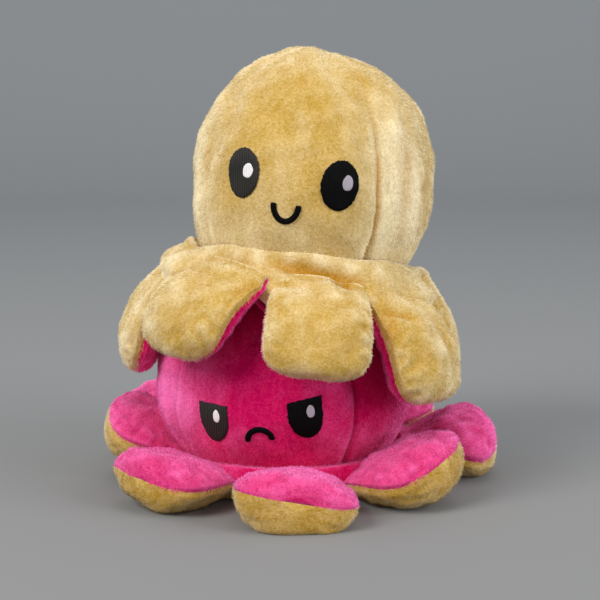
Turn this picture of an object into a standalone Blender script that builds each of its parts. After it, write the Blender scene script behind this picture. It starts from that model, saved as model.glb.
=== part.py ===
"""Two equal reversible plush octopuses, the upper one worn like a cap over the head of the lower one.

Each octopus is a hollow stuffed dome of two cloth skins, a skirt of two cloth rings round its mouth,
and eight stuffed arms that fold at the crease where they leave the skirt. Metres, +Z up, and the
faces look along -Y. Azimuths run from the front towards the viewer's right, in degrees.
"""

import math

import bmesh
import bpy
from mathutils import Matrix, Vector

# Cloth and clearances, shared by both octopuses
CLOTH = 0.0016
GAP = 0.0003
ARM_COUNT = 8
STATIONS = 24
GORE_COUNT = 4
BODY_TURN_DEG = 3.0
ARM_PITCH_DEG = 360.0 / ARM_COUNT
STATION_DEG = 360.0 / STATIONS
GORE_DEG = 360.0 / GORE_COUNT
FIRST_SEAM_DEG = 30.0
CREASE_SIDE_SHARES = (-1.0, 0.0, 1.0)
CREASE_TURN_LIMIT_DEG = 20.5

# Dome and pocket, which the neck seam divides from the skirt
NECK_RADIUS = 0.052
DOME_POWER = 2.15
FLARE_POWER = 1.8
SEAM_PULL = 0.0022
SEAM_SHARPNESS = 3.0
NECK_TO_BASE = 0.014
SKIRT_SPLIT_DROP = 0.007
POCKET_MOUTH_RADIUS = 0.046
POCKET_RADIUS = 0.042
POCKET_TOP = 0.054
GORE_TIP_RADIUS = 0.0011
SIDE_ROW_SHARES = (0.0, 0.33, 0.67, 1.0)
DOME_ROW_SHARES = (0.17, 0.34, 0.50, 0.66, 0.82)
POCKET_ROW_SHARES = (0.25, 0.45, 0.65, 0.85)
SLOPE_STEP_SHARE = 0.001

# Stuffed arm, from its crease to its tip
ARM_LENGTH = 0.040
ARM_WIDTH = 0.053
ARM_ROOT_WIDTH = 0.043
ARM_CROWN = 0.013
ARM_BELLY = 0.0115
ARM_ROOT_CROWN = 0.005
ARM_ROOT_BELLY = 0.007
ARM_END_POWER = 2.8
ARM_SIDE_POWER = 2.3
WIDEST_SHARE = 0.58
ROW_SHARES = (0.0, 0.14, 0.32, 0.52, 0.72, 0.88, 0.97)
SECTION_STEPS = 6

# Embroidery
STITCH = 0.0009
HIGHLIGHT_STITCH = 0.0006
MOUTH_STROKE = 0.0022
MOUTH_STEPS = 8
EYE_POINTS = 14
EYE_RING_SHARES = (0.5, 1.0)
HIGHLIGHT_RING_SHARES = (1.0,)

# How far the upper octopus leans, in degrees, and how far it has slid to the right
UPPER_TILT_DEG = 5.5
UPPER_SLIDE = 0.004
SEAT_SEARCH_STEPS = 40

ARM_NAMES = ("front", "front_right", "right", "back_right", "back", "back_left", "left", "front_left")
GORE_NAMES = ("right_panel", "back_panel", "left_panel", "face_panel")

YELLOW = (0.80, 0.52, 0.13, 1.0)
PINK = (0.75, 0.012, 0.14, 1.0)
BLACK = (0.008, 0.008, 0.008, 1.0)
WHITE = (0.85, 0.85, 0.85, 1.0)
FIBRE = (0.88, 0.88, 0.86, 1.0)
CLOTH_ROUGHNESS = 0.9
THREAD_ROUGHNESS = 0.5
SHARP_EDGE_DEG = 40.0


class Octopus:
    """The sizes that differ between the two, because one is squashed under the other."""

    def __init__(self, name, head_radius, head_height, bulge_height, crease_radius, crease_rise,
                 edge_depth, droops_deg, outer, inner, face):
        self.name = name
        self.head_radius = head_radius
        self.head_height = head_height
        self.bulge_height = bulge_height
        self.crease_radius = crease_radius
        self.crease_rise = crease_rise
        self.edge_depth = edge_depth
        self.droops_deg = droops_deg
        self.outer = outer
        self.inner = inner
        self.face = face


LOWER = Octopus(
    name="lower",
    head_radius=0.0622,
    head_height=0.097,
    bulge_height=0.0285,
    crease_radius=0.058,
    crease_rise=0.002,
    edge_depth=0.016,
    droops_deg=(0.0, 0.0, 0.0, 0.0, 0.0, 0.0, -14.0, 0.0),
    outer="pink",
    inner="yellow",
    face={
        "eye_width": 0.0155, "eye_height": 0.019, "eye_spread": 0.0222, "eye_rise": 0.0285,
        "brow_height": 0.0052, "brow_slope": 0.30,
        "glint_width": 0.0036, "glint_height": 0.0058, "glint_aside": 0.0024, "glint_up": 0.0012,
        "mouth_width": 0.0108, "mouth_depth": -0.0043, "mouth_rise": 0.0190, "roll_deg": 0.0,
    },
)
UPPER = Octopus(
    name="upper",
    head_radius=0.0595,
    head_height=0.1015,
    bulge_height=0.030,
    crease_radius=0.064,
    crease_rise=-0.012,
    edge_depth=0.012,
    droops_deg=(40.0, 60.0, 62.0, 60.0, 58.0, 58.0, 60.0, 44.0),
    outer="yellow",
    inner="pink",
    face={
        "eye_width": 0.0170, "eye_height": 0.0224, "eye_spread": 0.0226, "eye_rise": 0.0434,
        "brow_height": 0.0224, "brow_slope": 0.0,
        "glint_width": 0.0050, "glint_height": 0.0072, "glint_aside": 0.0034, "glint_up": 0.0014,
        "mouth_width": 0.0111, "mouth_depth": 0.0077, "mouth_rise": 0.0320, "roll_deg": 3.0,
    },
)


def clear_scene():
    for item in list(bpy.data.objects):
        bpy.data.objects.remove(item, do_unlink=True)


def make_material(name, colour, roughness):
    material = bpy.data.materials.new(name)
    material.use_nodes = True
    shader = material.node_tree.nodes["Principled BSDF"]
    shader.inputs["Base Color"].default_value = colour
    shader.inputs["Roughness"].default_value = roughness
    shader.inputs["Metallic"].default_value = 0.0
    return material


def make_object(name, points, faces, material, parent):
    """A closed mesh of its own, with its faces turned outwards and its round surfaces smooth."""
    mesh = bpy.data.meshes.new(name)
    mesh.from_pydata([tuple(p) for p in points], [], faces)
    work = bmesh.new()
    work.from_mesh(mesh)
    bmesh.ops.recalc_face_normals(work, faces=work.faces)
    work.to_mesh(mesh)
    work.free()
    mesh.shade_smooth()
    mesh.set_sharp_from_angle(angle=math.radians(SHARP_EDGE_DEG))
    mesh.materials.append(material)
    item = bpy.data.objects.new(name, mesh)
    item.parent = parent
    bpy.context.collection.objects.link(item)


def make_empty(name, matrix, parent=None):
    item = bpy.data.objects.new(name, None)
    item.parent = parent
    item.matrix_local = matrix
    bpy.context.collection.objects.link(item)
    return item


def around(azimuth_deg, radius, height):
    """A point of the octopus's own frame, whose origin is the middle of the neck seam."""
    angle = math.radians(azimuth_deg + BODY_TURN_DEG)
    return Vector((radius * math.sin(angle), -radius * math.cos(angle), height))


def dome_section(radius, foot, top, turn):
    """Radius and height on a dome's rounded part. turn is 0 at its foot and nears 1 at its pole."""
    angle = 0.5 * math.pi * turn
    power = 2.0 / DOME_POWER
    return radius * math.cos(angle) ** power, foot + (top - foot) * math.sin(angle) ** power


def head_radius_at(octopus, height):
    """Radius of the head's outer side at a height over the neck seam, between two gore seams."""
    if height <= octopus.bulge_height:
        below = (octopus.bulge_height - height) / octopus.bulge_height
        return octopus.head_radius - (octopus.head_radius - NECK_RADIUS) * below ** FLARE_POWER
    above = (height - octopus.bulge_height) / (octopus.head_height - octopus.bulge_height)
    return octopus.head_radius * max(0.0, 1.0 - above ** DOME_POWER) ** (1.0 / DOME_POWER)


def seam_share(azimuth_deg):
    """1 on a gore seam, falling to 0 midway between two seams."""
    off = math.radians((azimuth_deg - FIRST_SEAM_DEG) * GORE_COUNT / 2.0)
    return abs(math.cos(off)) ** SEAM_SHARPNESS


def head_levels(octopus):
    """Heights of the rows of the head, from the neck seam up to the edge of the gore tips."""
    rounded = [dome_section(octopus.head_radius, octopus.bulge_height, octopus.head_height, turn)[1]
               for turn in DOME_ROW_SHARES]
    side = [octopus.bulge_height * share for share in SIDE_ROW_SHARES]
    tip = 1.0 - (GORE_TIP_RADIUS / octopus.head_radius) ** DOME_POWER
    last = octopus.bulge_height + (octopus.head_height - octopus.bulge_height) * tip ** (1.0 / DOME_POWER)
    return side + rounded + [last]


def head_point(octopus, azimuth_deg, height, inset):
    """A point on the head, or under its outer side by inset, measured square to that side."""
    step = octopus.head_height * SLOPE_STEP_SHARE
    low = head_radius_at(octopus, max(height - step, 0.0))
    high = head_radius_at(octopus, min(height + step, octopus.head_height))
    run = min(height + step, octopus.head_height) - max(height - step, 0.0)
    outward = Vector((run, low - high)).normalized()
    share = math.sin(math.pi * min(height / octopus.head_height, 1.0))
    radius = head_radius_at(octopus, height) - SEAM_PULL * seam_share(azimuth_deg) * share
    level = height - inset * outward.y if height > 0.0 else height
    return around(azimuth_deg, max(radius - inset * outward.x, 0.0), level)


def pocket_profile(inset):
    """Radius and height of the pocket's wall from its mouth to near its pole, moved out by inset."""
    rows = [(POCKET_RADIUS + (POCKET_MOUTH_RADIUS - POCKET_RADIUS) * SKIRT_SPLIT_DROP / NECK_TO_BASE,
             -SKIRT_SPLIT_DROP), (POCKET_RADIUS, 0.0)]
    rows += [dome_section(POCKET_RADIUS, 0.0, POCKET_TOP, turn) for turn in POCKET_ROW_SHARES]
    moved = []
    for place, (radius, height) in enumerate(rows):
        before = rows[max(place - 1, 0)]
        after = rows[place + 1] if place + 1 < len(rows) else (0.0, POCKET_TOP)
        outward = Vector((after[1] - before[1], before[0] - after[0])).normalized()
        lift = inset * outward.y if place > 1 else 0.0
        moved.append((radius + inset * outward.x, height + lift))
    return moved


def stations():
    return [STATION_DEG * k for k in range(STATIONS)]


def split_quad(a, b, c, d):
    """Two triangles on the same diagonal everywhere, so that nested skins stay a gap apart."""
    return [(a, b, c), (a, c, d)]


def ring_mesh(loops, closed_top=None, closed_bottom=None):
    """Loops of equal length joined in order. A pole closes an end, otherwise the last meets the first."""
    count = len(loops[0])
    points = [p for loop in loops for p in loop]
    faces = []
    wraps = closed_top is None and closed_bottom is None
    for row in range(len(loops) if wraps else len(loops) - 1):
        above = (row + 1) % len(loops)
        for k in range(count):
            after = (k + 1) % count
            low, high = row * count, above * count
            faces += split_quad(low + k, low + after, high + after, high + k)
    for pole, row in ((closed_top, len(loops) - 1), (closed_bottom, 0)):
        if pole is not None:
            points.append(pole)
            for k in range(count):
                faces.append((row * count + k, row * count + (k + 1) % count, len(points) - 1))
    return points, faces


def grid_shell(outer, inner):
    """Two equal grids of points joined along their four edges into one closed sheet with thickness."""
    rows, columns = len(outer), len(outer[0])
    points = [p for row in outer for p in row] + [p for row in inner for p in row]
    under = rows * columns
    faces = []
    for i in range(rows - 1):
        for j in range(columns - 1):
            a, b = i * columns + j, i * columns + j + 1
            c, d = b + columns, a + columns
            faces += split_quad(a, b, c, d)
            faces += split_quad(under + a, under + b, under + c, under + d)
    edge = [j for j in range(columns)]
    edge += [i * columns + columns - 1 for i in range(1, rows)]
    edge += [(rows - 1) * columns + j for j in range(columns - 2, -1, -1)]
    edge += [i * columns for i in range(rows - 2, 0, -1)]
    for k, a in enumerate(edge):
        b = edge[(k + 1) % len(edge)]
        faces.append((b, a, under + a, under + b))
    return points, faces


def gore(octopus, number, material, parent):
    """One of the four cloth panels sewn edge to edge into the head."""
    first = FIRST_SEAM_DEG + GORE_DEG * number
    columns = int(GORE_DEG / STATION_DEG)
    outer, inner = [], []
    for height in head_levels(octopus):
        half_gap = math.degrees(0.5 * GAP / max(head_radius_at(octopus, height), GORE_TIP_RADIUS))
        turns = [first + STATION_DEG * k for k in range(columns + 1)]
        turns[0] += half_gap
        turns[-1] -= half_gap
        outer.append([head_point(octopus, turn, height, 0.0) for turn in turns])
        inner.append([head_point(octopus, turn, height, CLOTH) for turn in turns])
    points, faces = grid_shell(outer, inner)
    make_object(f"{octopus.name}_{GORE_NAMES[number]}", points, faces, material, parent)


def filling(octopus, material, parent):
    """The fibre between the head's two skins, a thick dome that is open below."""
    levels = head_levels(octopus)
    outer = [[head_point(octopus, turn, height, CLOTH + GAP) for turn in stations()] for height in levels]
    pole = around(0.0, 0.0, octopus.head_height - CLOTH - GAP)
    hollow = pocket_profile(CLOTH + GAP)[1:]
    inner = [[around(turn, radius, height) for turn in stations()] for radius, height in hollow]
    inner_pole = around(0.0, 0.0, POCKET_TOP + CLOTH + GAP)
    points, faces = ring_mesh(list(reversed(inner)) + outer, closed_top=pole, closed_bottom=inner_pole)
    make_object(f"{octopus.name}_head_filling", points, faces, material, parent)


def lining(octopus, material, parent):
    """The head's other skin, pushed up inside it as a pocket."""
    inside = [[around(turn, radius, height) for turn in stations()] for radius, height in pocket_profile(0.0)]
    outer_rows = pocket_profile(CLOTH)
    outside = [[around(turn, radius, height) for turn in stations()] for radius, height in outer_rows]
    points, faces = ring_mesh(
        list(reversed(inside)) + outside,
        closed_top=around(0.0, 0.0, POCKET_TOP + CLOTH), closed_bottom=around(0.0, 0.0, POCKET_TOP),
    )
    make_object(f"{octopus.name}_pocket_lining", points, faces, material, parent)


def crease_face(octopus, arm, aside):
    """Turn, radius and height of the skirt's edge at its top, middle and bottom, aside of an arm's middle.

    The edge is flat before each arm and square to it, as far out as the arm's root is wide.
    """
    lean = math.radians(max(octopus.droops_deg[arm], 0.0))
    rows = []
    for depth in (0.0, 0.5 * octopus.edge_depth, octopus.edge_depth):
        along = octopus.crease_radius - depth * math.sin(lean) - GAP * math.cos(lean)
        drop = depth * math.cos(lean) - GAP * math.sin(lean)
        off = math.degrees(math.atan2(aside, along))
        off = max(min(off, CREASE_TURN_LIMIT_DEG), -CREASE_TURN_LIMIT_DEG)
        reach = along / math.cos(math.radians(off))
        rows.append((ARM_PITCH_DEG * arm + off, reach, octopus.crease_rise - drop))
    return rows


def skirt(octopus, outer_material, inner_material, parent):
    """The two cloth rings round the mouth, the upper one of the head's colour."""
    split_radius, split_height = pocket_profile(0.0)[0]
    top_in, top_out, crease, middle_out, middle_in = [], [], [], [], []
    under_in, under_middle, under_out, base_out, mouth = [], [], [], [], []
    chord = 1.0 / math.cos(math.pi / (ARM_COUNT * len(CREASE_SIDE_SHARES)))
    wall = CLOTH + GAP
    for place in range(ARM_COUNT * len(CREASE_SIDE_SHARES)):
        arm, side = divmod(place, len(CREASE_SIDE_SHARES))
        top, middle, bottom = crease_face(octopus, arm, 0.5 * ARM_ROOT_WIDTH * CREASE_SIDE_SHARES[side])
        turn = ARM_PITCH_DEG * (arm + (side - 1.0) / len(CREASE_SIDE_SHARES))
        top_in.append(around(turn, (POCKET_RADIUS + wall) * chord, -GAP))
        top_out.append(around(turn, NECK_RADIUS, -GAP))
        crease.append(around(*top))
        middle_out.append(around(middle[0], middle[1], middle[2] + 0.5 * GAP))
        middle_in.append(around(turn, (split_radius + wall) * chord, split_height + 0.5 * GAP))
        under_in.append(around(turn, split_radius, split_height - 0.5 * GAP))
        under_middle.append(around(turn, (split_radius + wall) * chord, split_height - 0.5 * GAP))
        under_out.append(around(middle[0], middle[1], middle[2] - 0.5 * GAP))
        base_out.append(around(*bottom))
        mouth.append(around(turn, POCKET_MOUTH_RADIUS, -NECK_TO_BASE))
    points, faces = ring_mesh([top_in, top_out, crease, middle_out, middle_in])
    make_object(f"{octopus.name}_skirt", points, faces, outer_material, parent)
    points, faces = ring_mesh([mouth, base_out, under_out, under_middle, under_in])
    make_object(f"{octopus.name}_skirt_underside", points, faces, inner_material, parent)


def swell(share):
    """0 at the crease end, 1 at the widest place, and a round end at the tip."""
    if share < WIDEST_SHARE:
        return math.sin(0.5 * math.pi * share / WIDEST_SHARE)
    past = (share - WIDEST_SHARE) / (1.0 - WIDEST_SHARE)
    return (1.0 - past ** ARM_END_POWER) ** (1.0 / ARM_END_POWER)


def swelling_size(root, full, share):
    if share < WIDEST_SHARE:
        return root + (full - root) * swell(share)
    return full * swell(share)


def arm_half(name, side, floor, material, parent):
    """One cloth side of a stuffed arm and its share of the filling. side is 1 above the seam, -1 below."""
    root_height, full_height = (ARM_ROOT_CROWN, ARM_CROWN) if side > 0 else (ARM_ROOT_BELLY, ARM_BELLY)
    seam = -ARM_ROOT_CROWN + 0.5 * side * GAP
    points, faces = [], []
    width = SECTION_STEPS + 1
    for share in ROW_SHARES:
        half = 0.5 * swelling_size(ARM_ROOT_WIDTH, ARM_WIDTH, share)
        height = swelling_size(root_height, full_height, share) - 0.5 * GAP
        for k in range(width):
            across = -math.cos(math.pi * k / SECTION_STEPS)
            rise = max(0.0, 1.0 - abs(across) ** ARM_SIDE_POWER) ** (1.0 / ARM_SIDE_POWER)
            level = seam + side * height * rise
            points.append(Vector((ARM_LENGTH * share, half * across, max(level, floor))))
    rows = len(ROW_SHARES)
    for i in range(rows - 1):
        base = i * width
        for k in range(SECTION_STEPS):
            faces.append((base + k, base + k + 1, base + width + k + 1, base + width + k))
        faces.append((base, base + width, base + width + SECTION_STEPS, base + SECTION_STEPS))
    faces.append(tuple(range(width)))
    points.append(Vector((ARM_LENGTH, 0.0, seam)))
    base = (rows - 1) * width
    for k in range(SECTION_STEPS):
        faces.append((base + k, base + k + 1, len(points) - 1))
    faces.append((base + SECTION_STEPS, base, len(points) - 1))
    make_object(name, points, faces, material, parent)


def arm(octopus, number, frame, outer_material, inner_material):
    """A stuffed arm on its crease. An arm that lies level is cut flat where it rests."""
    azimuth = math.radians(ARM_PITCH_DEG * number + BODY_TURN_DEG)
    droop_deg = octopus.droops_deg[number]
    crease = around(ARM_PITCH_DEG * number, octopus.crease_radius, octopus.crease_rise)
    place = Matrix.Translation(crease)
    place = place @ Matrix.Rotation(azimuth - 0.5 * math.pi, 4, "Z")
    place = place @ Matrix.Rotation(math.radians(droop_deg), 4, "Y")
    name = f"{octopus.name}_{ARM_NAMES[number]}_arm"
    pivot = make_empty(f"{name}_crease", place, frame)
    rests = droop_deg == 0.0
    floor = -(NECK_TO_BASE + octopus.crease_rise) if rests else -ARM_LENGTH
    arm_half(f"{name}_cover", 1, floor, outer_material, pivot)
    arm_half(f"{name}_underside", -1, floor, inner_material, pivot)


def face_point(octopus, aside, up, proud):
    """A point on the face panel, aside and up from the foot of its middle line, and proud of the cloth."""
    roll = math.radians(octopus.face["roll_deg"])
    centre = octopus.face["eye_rise"]
    turned_aside = aside * math.cos(roll) + (up - centre) * math.sin(roll)
    turned_up = centre + (up - centre) * math.cos(roll) - aside * math.sin(roll)
    radius = head_radius_at(octopus, turned_up)
    middle = FIRST_SEAM_DEG - 0.5 * GORE_DEG
    return head_point(octopus, middle + math.degrees(turned_aside / radius), turned_up, -proud)


def stitched_patch(octopus, name, outline, centre, rings, low, thickness, material, parent):
    """A closed pad of thread on the face: an outline scaled to rings about its centre, with thickness."""
    layers = []
    for proud in (low, low + thickness):
        loops = []
        for ring in rings:
            loops.append([face_point(octopus, centre[0] + (u - centre[0]) * ring,
                                     centre[1] + (v - centre[1]) * ring, proud) for u, v in outline])
        layers.append((loops, face_point(octopus, centre[0], centre[1], proud)))
    (bottom, bottom_middle), (top, top_middle) = layers
    loops = bottom + list(reversed(top))
    points, faces = ring_mesh(loops, closed_top=top_middle, closed_bottom=bottom_middle)
    make_object(f"{octopus.name}_{name}", points, faces, material, parent)


def eye(octopus, side, side_name, black, white, parent):
    """An oval eye of satin stitch with a glint. A cross eye is cut off by a slanting brow."""
    face = octopus.face
    centre = (side * face["eye_spread"], face["eye_rise"])
    outline = []
    for k in range(EYE_POINTS):
        angle = 2.0 * math.pi * k / EYE_POINTS
        aside = 0.5 * face["eye_width"] * math.sin(angle)
        up = 0.5 * face["eye_height"] * math.cos(angle)
        up = min(up, face["brow_height"] + face["brow_slope"] * aside * side)
        outline.append((centre[0] + aside, centre[1] + up))
    stitched_patch(octopus, f"{side_name}_eye", outline, centre, EYE_RING_SHARES, GAP, STITCH, black, parent)
    glint_centre = (centre[0] + face["glint_aside"], centre[1] + face["glint_up"])
    glint = []
    for k in range(EYE_POINTS):
        angle = 2.0 * math.pi * k / EYE_POINTS
        glint.append((glint_centre[0] + 0.5 * face["glint_width"] * math.sin(angle),
                      glint_centre[1] + 0.5 * face["glint_height"] * math.cos(angle)))
    stitched_patch(octopus, f"{side_name}_eye_glint", glint, glint_centre, HIGHLIGHT_RING_SHARES,
                   2.0 * GAP + STITCH, HIGHLIGHT_STITCH, white, parent)


def mouth(octopus, black, parent):
    """A bowed line of satin stitch: a smile where its depth is positive, otherwise a frown."""
    face = octopus.face
    outer, inner = [], []
    for k in range(MOUTH_STEPS + 1):
        angle = math.pi * (k / MOUTH_STEPS - 0.5)
        rim = Vector((0.5 * face["mouth_width"] * math.sin(angle), -face["mouth_depth"] * math.cos(angle)))
        along = Vector((0.5 * face["mouth_width"] * math.cos(angle), face["mouth_depth"] * math.sin(angle)))
        across = Vector((-along.y, along.x)).normalized() * 0.5 * MOUTH_STROKE
        ends = (rim - across, rim + across)
        outer.append([face_point(octopus, e.x, face["mouth_rise"] + e.y, GAP + STITCH) for e in ends])
        inner.append([face_point(octopus, e.x, face["mouth_rise"] + e.y, GAP) for e in ends])
    points, faces = grid_shell(outer, inner)
    make_object(f"{octopus.name}_mouth", points, faces, black, parent)


def seat_height():
    """Height of the upper neck seam at which the tilted mouth rests on the lower head."""
    tilt = math.radians(UPPER_TILT_DEG)
    low, high = NECK_TO_BASE + LOWER.bulge_height, 2.0 * (NECK_TO_BASE + LOWER.head_height)
    for _ in range(SEAT_SEARCH_STEPS):
        middle = 0.5 * (low + high)
        if rim_clearance(middle, tilt) < GAP:
            low = middle
        else:
            high = middle
    return high


def rim_clearance(height, tilt):
    """Least distance, along the lower head's slope, from the upper mouth's rim to the lower head."""
    least = LOWER.head_radius
    place = upper_place(height, tilt)
    for turn in stations():
        point = place @ around(turn, POCKET_MOUTH_RADIUS, -NECK_TO_BASE)
        level = point.z - NECK_TO_BASE
        if level >= LOWER.head_height:
            continue
        radius = head_radius_at(LOWER, level)
        step = LOWER.head_height * SLOPE_STEP_SHARE
        fall = (head_radius_at(LOWER, level - step) - head_radius_at(LOWER, level + step)) / (2.0 * step)
        least = min(least, (math.hypot(point.x, point.y) - radius) / math.hypot(1.0, fall))
    return least


def upper_place(height, tilt):
    """Frame of the upper octopus: it leans about the middle of its mouth, which has slid to the right."""
    rim = Matrix.Translation(Vector((UPPER_SLIDE, 0.0, height - NECK_TO_BASE)))
    return rim @ Matrix.Rotation(tilt, 4, "Y") @ Matrix.Translation(Vector((0.0, 0.0, NECK_TO_BASE)))


def build_octopus(octopus, place, materials):
    frame = make_empty(f"{octopus.name}_octopus", place)
    outer, inner = materials[octopus.outer], materials[octopus.inner]
    for number in range(GORE_COUNT):
        gore(octopus, number, outer, frame)
    filling(octopus, materials["fibre"], frame)
    lining(octopus, inner, frame)
    skirt(octopus, outer, inner, frame)
    eye(octopus, -1.0, "left", materials["black"], materials["white"], frame)
    eye(octopus, 1.0, "right", materials["black"], materials["white"], frame)
    mouth(octopus, materials["black"], frame)
    for number in range(ARM_COUNT):
        arm(octopus, number, frame, outer, inner)


def main():
    clear_scene()
    materials = {
        "yellow": make_material("yellow_plush", YELLOW, CLOTH_ROUGHNESS),
        "pink": make_material("pink_plush", PINK, CLOTH_ROUGHNESS),
        "fibre": make_material("fibre_filling", FIBRE, CLOTH_ROUGHNESS),
        "black": make_material("black_thread", BLACK, THREAD_ROUGHNESS),
        "white": make_material("white_thread", WHITE, THREAD_ROUGHNESS),
    }
    build_octopus(LOWER, Matrix.Translation(Vector((0.0, 0.0, NECK_TO_BASE))), materials)
    build_octopus(UPPER, upper_place(seat_height(), math.radians(UPPER_TILT_DEG)), materials)


main()
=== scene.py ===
# %% [markdown]
# Two plush octopuses, one worn by the other like a cap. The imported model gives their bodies, joints and
# plain solids. All of it is soft, so this script dresses every solid: it replaces each one by a piece of
# cloth with the folds that the photograph shows, and grows short pile on it. Sizes are in metres, +Z is up
# and the faces look along -Y.

# %% Load the frame
import math

import bmesh
import bpy
import numpy as np
from mathutils import Matrix, Vector
from mathutils.bvhtree import BVHTree


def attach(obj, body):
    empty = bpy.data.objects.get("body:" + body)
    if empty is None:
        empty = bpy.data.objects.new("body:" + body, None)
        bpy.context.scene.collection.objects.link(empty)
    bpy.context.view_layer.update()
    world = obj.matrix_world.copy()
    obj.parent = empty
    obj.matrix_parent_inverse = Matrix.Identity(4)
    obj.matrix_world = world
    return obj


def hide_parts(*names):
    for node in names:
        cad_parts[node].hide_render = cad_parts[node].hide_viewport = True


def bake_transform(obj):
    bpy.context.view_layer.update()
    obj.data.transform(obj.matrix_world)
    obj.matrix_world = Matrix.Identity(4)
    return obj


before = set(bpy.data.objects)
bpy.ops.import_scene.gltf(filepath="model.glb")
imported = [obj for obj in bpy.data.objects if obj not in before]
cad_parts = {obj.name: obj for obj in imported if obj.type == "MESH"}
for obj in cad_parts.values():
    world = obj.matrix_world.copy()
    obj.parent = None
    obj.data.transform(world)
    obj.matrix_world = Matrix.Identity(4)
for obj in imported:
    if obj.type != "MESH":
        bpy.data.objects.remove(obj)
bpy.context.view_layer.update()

# %% [markdown]
# The sizes come first, because heads, skirts and arms meet along the same seams. They repeat what the packed
# model has: the neck where head and skirt are sewn together, the crease where an arm leaves the skirt, and the
# pocket that the other side's head is turned in to. Azimuths run from the front to the viewer's right.

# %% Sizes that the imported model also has
MM = 0.001
TURN = 3.0  # both toys face a little to the right
ARM_COUNT = 8
SEAM_COUNT = 4
FIRST_SEAM = 30.0
NECK = 49.5 * MM
NECK_TO_BASE = 14 * MM
DOME_POWER = 2.15  # 2 is an ellipse, and more is fuller at the shoulders
FLARE_POWER = 1.8
POCKET_RADIUS, POCKET_TOP = 42 * MM, 54 * MM
ARM_NAMES = ["front", "front_right", "right", "back_right", "back", "back_left", "left", "front_left"]
PANELS = ["face_panel", "right_panel", "back_panel", "left_panel"]
UPPER_SEAT, UPPER_TILT = (8.08 * MM, 0, 106.8 * MM), math.radians(6.5)

TOYS = {
    "lower": {
        "place": Matrix.Translation((0, 0, NECK_TO_BASE)),
        "outer": "pink", "inner": "yellow",
        "radius": 62.2 * MM, "height": 97 * MM, "bulge": 28.5 * MM,
        "crease": 58 * MM, "rise": 2 * MM, "depth": 16 * MM,
        "droops": [0, 0, 0, 0, 0, 0, -14, 0],
    },
    "upper": {
        "place": Matrix.Translation(UPPER_SEAT) @ Matrix.Rotation(UPPER_TILT, 4, "Y"),
        "outer": "yellow", "inner": "pink",
        "radius": 59.0 * MM, "height": 99.5 * MM, "bulge": 30 * MM,
        "crease": 64 * MM, "rise": -12 * MM, "depth": 12 * MM,
        "droops": [40, 60, 62, 60, 58, 58, 60, 44],
    },
}
print("Toys:", {name: f"{toy['outer']} out, {toy['height'] / MM} mm head" for name, toy in TOYS.items()})

# %% [markdown]
# The camera stands where the photographer stood, a little above the toy's shoulders and some way off, so the
# outlines can be set against the photograph's. It comes before the shapes, because folds are placed by where
# they show: a ray through a pixel of the frame meets the cloth at the fold.

# %% Camera at the photograph's viewing angle
FRAME_PIXELS = 600
FOCAL, SENSOR = 100.6, 36.0
camera_data = bpy.data.cameras.new("camera")
camera_data.lens = FOCAL
camera_data.sensor_width = SENSOR
camera = bpy.data.objects.new("camera", camera_data)
bpy.context.collection.objects.link(camera)
camera.location = (0.0028, -0.8, 0.205)
camera.rotation_euler = (math.radians(90.0 - 8.45), 0.0, math.radians(-0.35))
bpy.context.scene.camera = camera
bpy.context.view_layer.update()


def photo_ray(px, py):
    """Where the camera stands and the way it looks at a point of the 600 by 600 frame."""
    reach = FOCAL / SENSOR * FRAME_PIXELS
    local = Vector((px - FRAME_PIXELS / 2, FRAME_PIXELS / 2 - py, -reach))
    return camera.matrix_world.translation.copy(), (camera.matrix_world.to_3x3() @ local).normalized()


print("The camera is", round(camera.location.length, 2), "m from the toy's foot")

# %% [markdown]
# Every cloth here is a grid of points, rows by columns, in one array. A grid is easy to bend, to dent and to
# swell with plain sums on all its points at once, its rows give the pile its nap, and it turns into closed
# faces at the end. A cloth simulation could swell the pieces too, but the folds have to come where the
# photograph has them, so the points are moved in code instead.

# %% Small tools for grids


def waves(points, wavelength, seed, terms=20):
    """A smooth random field of about unit strength at each point."""
    rng = np.random.default_rng(seed)
    ways = rng.normal(size=(terms, 3))
    ways /= np.linalg.norm(ways, axis=1)[:, None]
    pitch = rng.uniform(0.7, 1.35, terms) / wavelength
    shift = rng.uniform(0, 2 * np.pi, terms)
    return np.cos(2 * np.pi * points @ (ways * pitch[:, None]).T + shift).sum(1) * (2 / terms) ** 0.5


def smoothstep(value):
    value = np.clip(value, 0, 1)
    return value * value * (3 - 2 * value)


def around(azimuth, radius, height):
    """Points of a toy's own frame from azimuths in degrees, radii and heights, as an array."""
    turn = np.radians(np.asarray(azimuth, float) + TURN)
    radius, height = np.broadcast_arrays(np.asarray(radius, float), np.asarray(height, float))
    turn, radius, height = np.broadcast_arrays(turn, radius, height)
    return np.stack([radius * np.sin(turn), -radius * np.cos(turn), height], -1)


def placed(points, matrix):
    flat = np.asarray(points, float).reshape(-1, 3)
    turned = flat @ np.array(matrix.to_3x3()).T + np.array(matrix.translation)
    return turned.reshape(np.shape(points))


def grid_faces(rows, columns, wrap=False):
    """Faces of a grid of points, outwards if rows go up and columns go to the right seen from outside."""
    faces = []
    for i in range(rows - 1):
        for j in range(columns if wrap else columns - 1):
            k = (j + 1) % columns
            faces.append((i * columns + j, i * columns + k, (i + 1) * columns + k, (i + 1) * columns + j))
    return faces


def grid_normals(grid, wrap):
    """Unit normals of a grid of points, by the differences along its rows and columns."""
    up = np.gradient(grid, axis=0)
    side = np.roll(grid, -1, 1) - np.roll(grid, 1, 1) if wrap else np.gradient(grid, axis=1)
    normal = np.cross(side, up)
    return normal / np.maximum(np.linalg.norm(normal, axis=2, keepdims=True), 1e-12)


def grid_tree(grid, wrap):
    """The grid's surface, for rays to meet."""
    return BVHTree.FromPolygons([Vector(p) for p in grid.reshape(-1, 3)], grid_faces(*grid.shape[:2], wrap))


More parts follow.
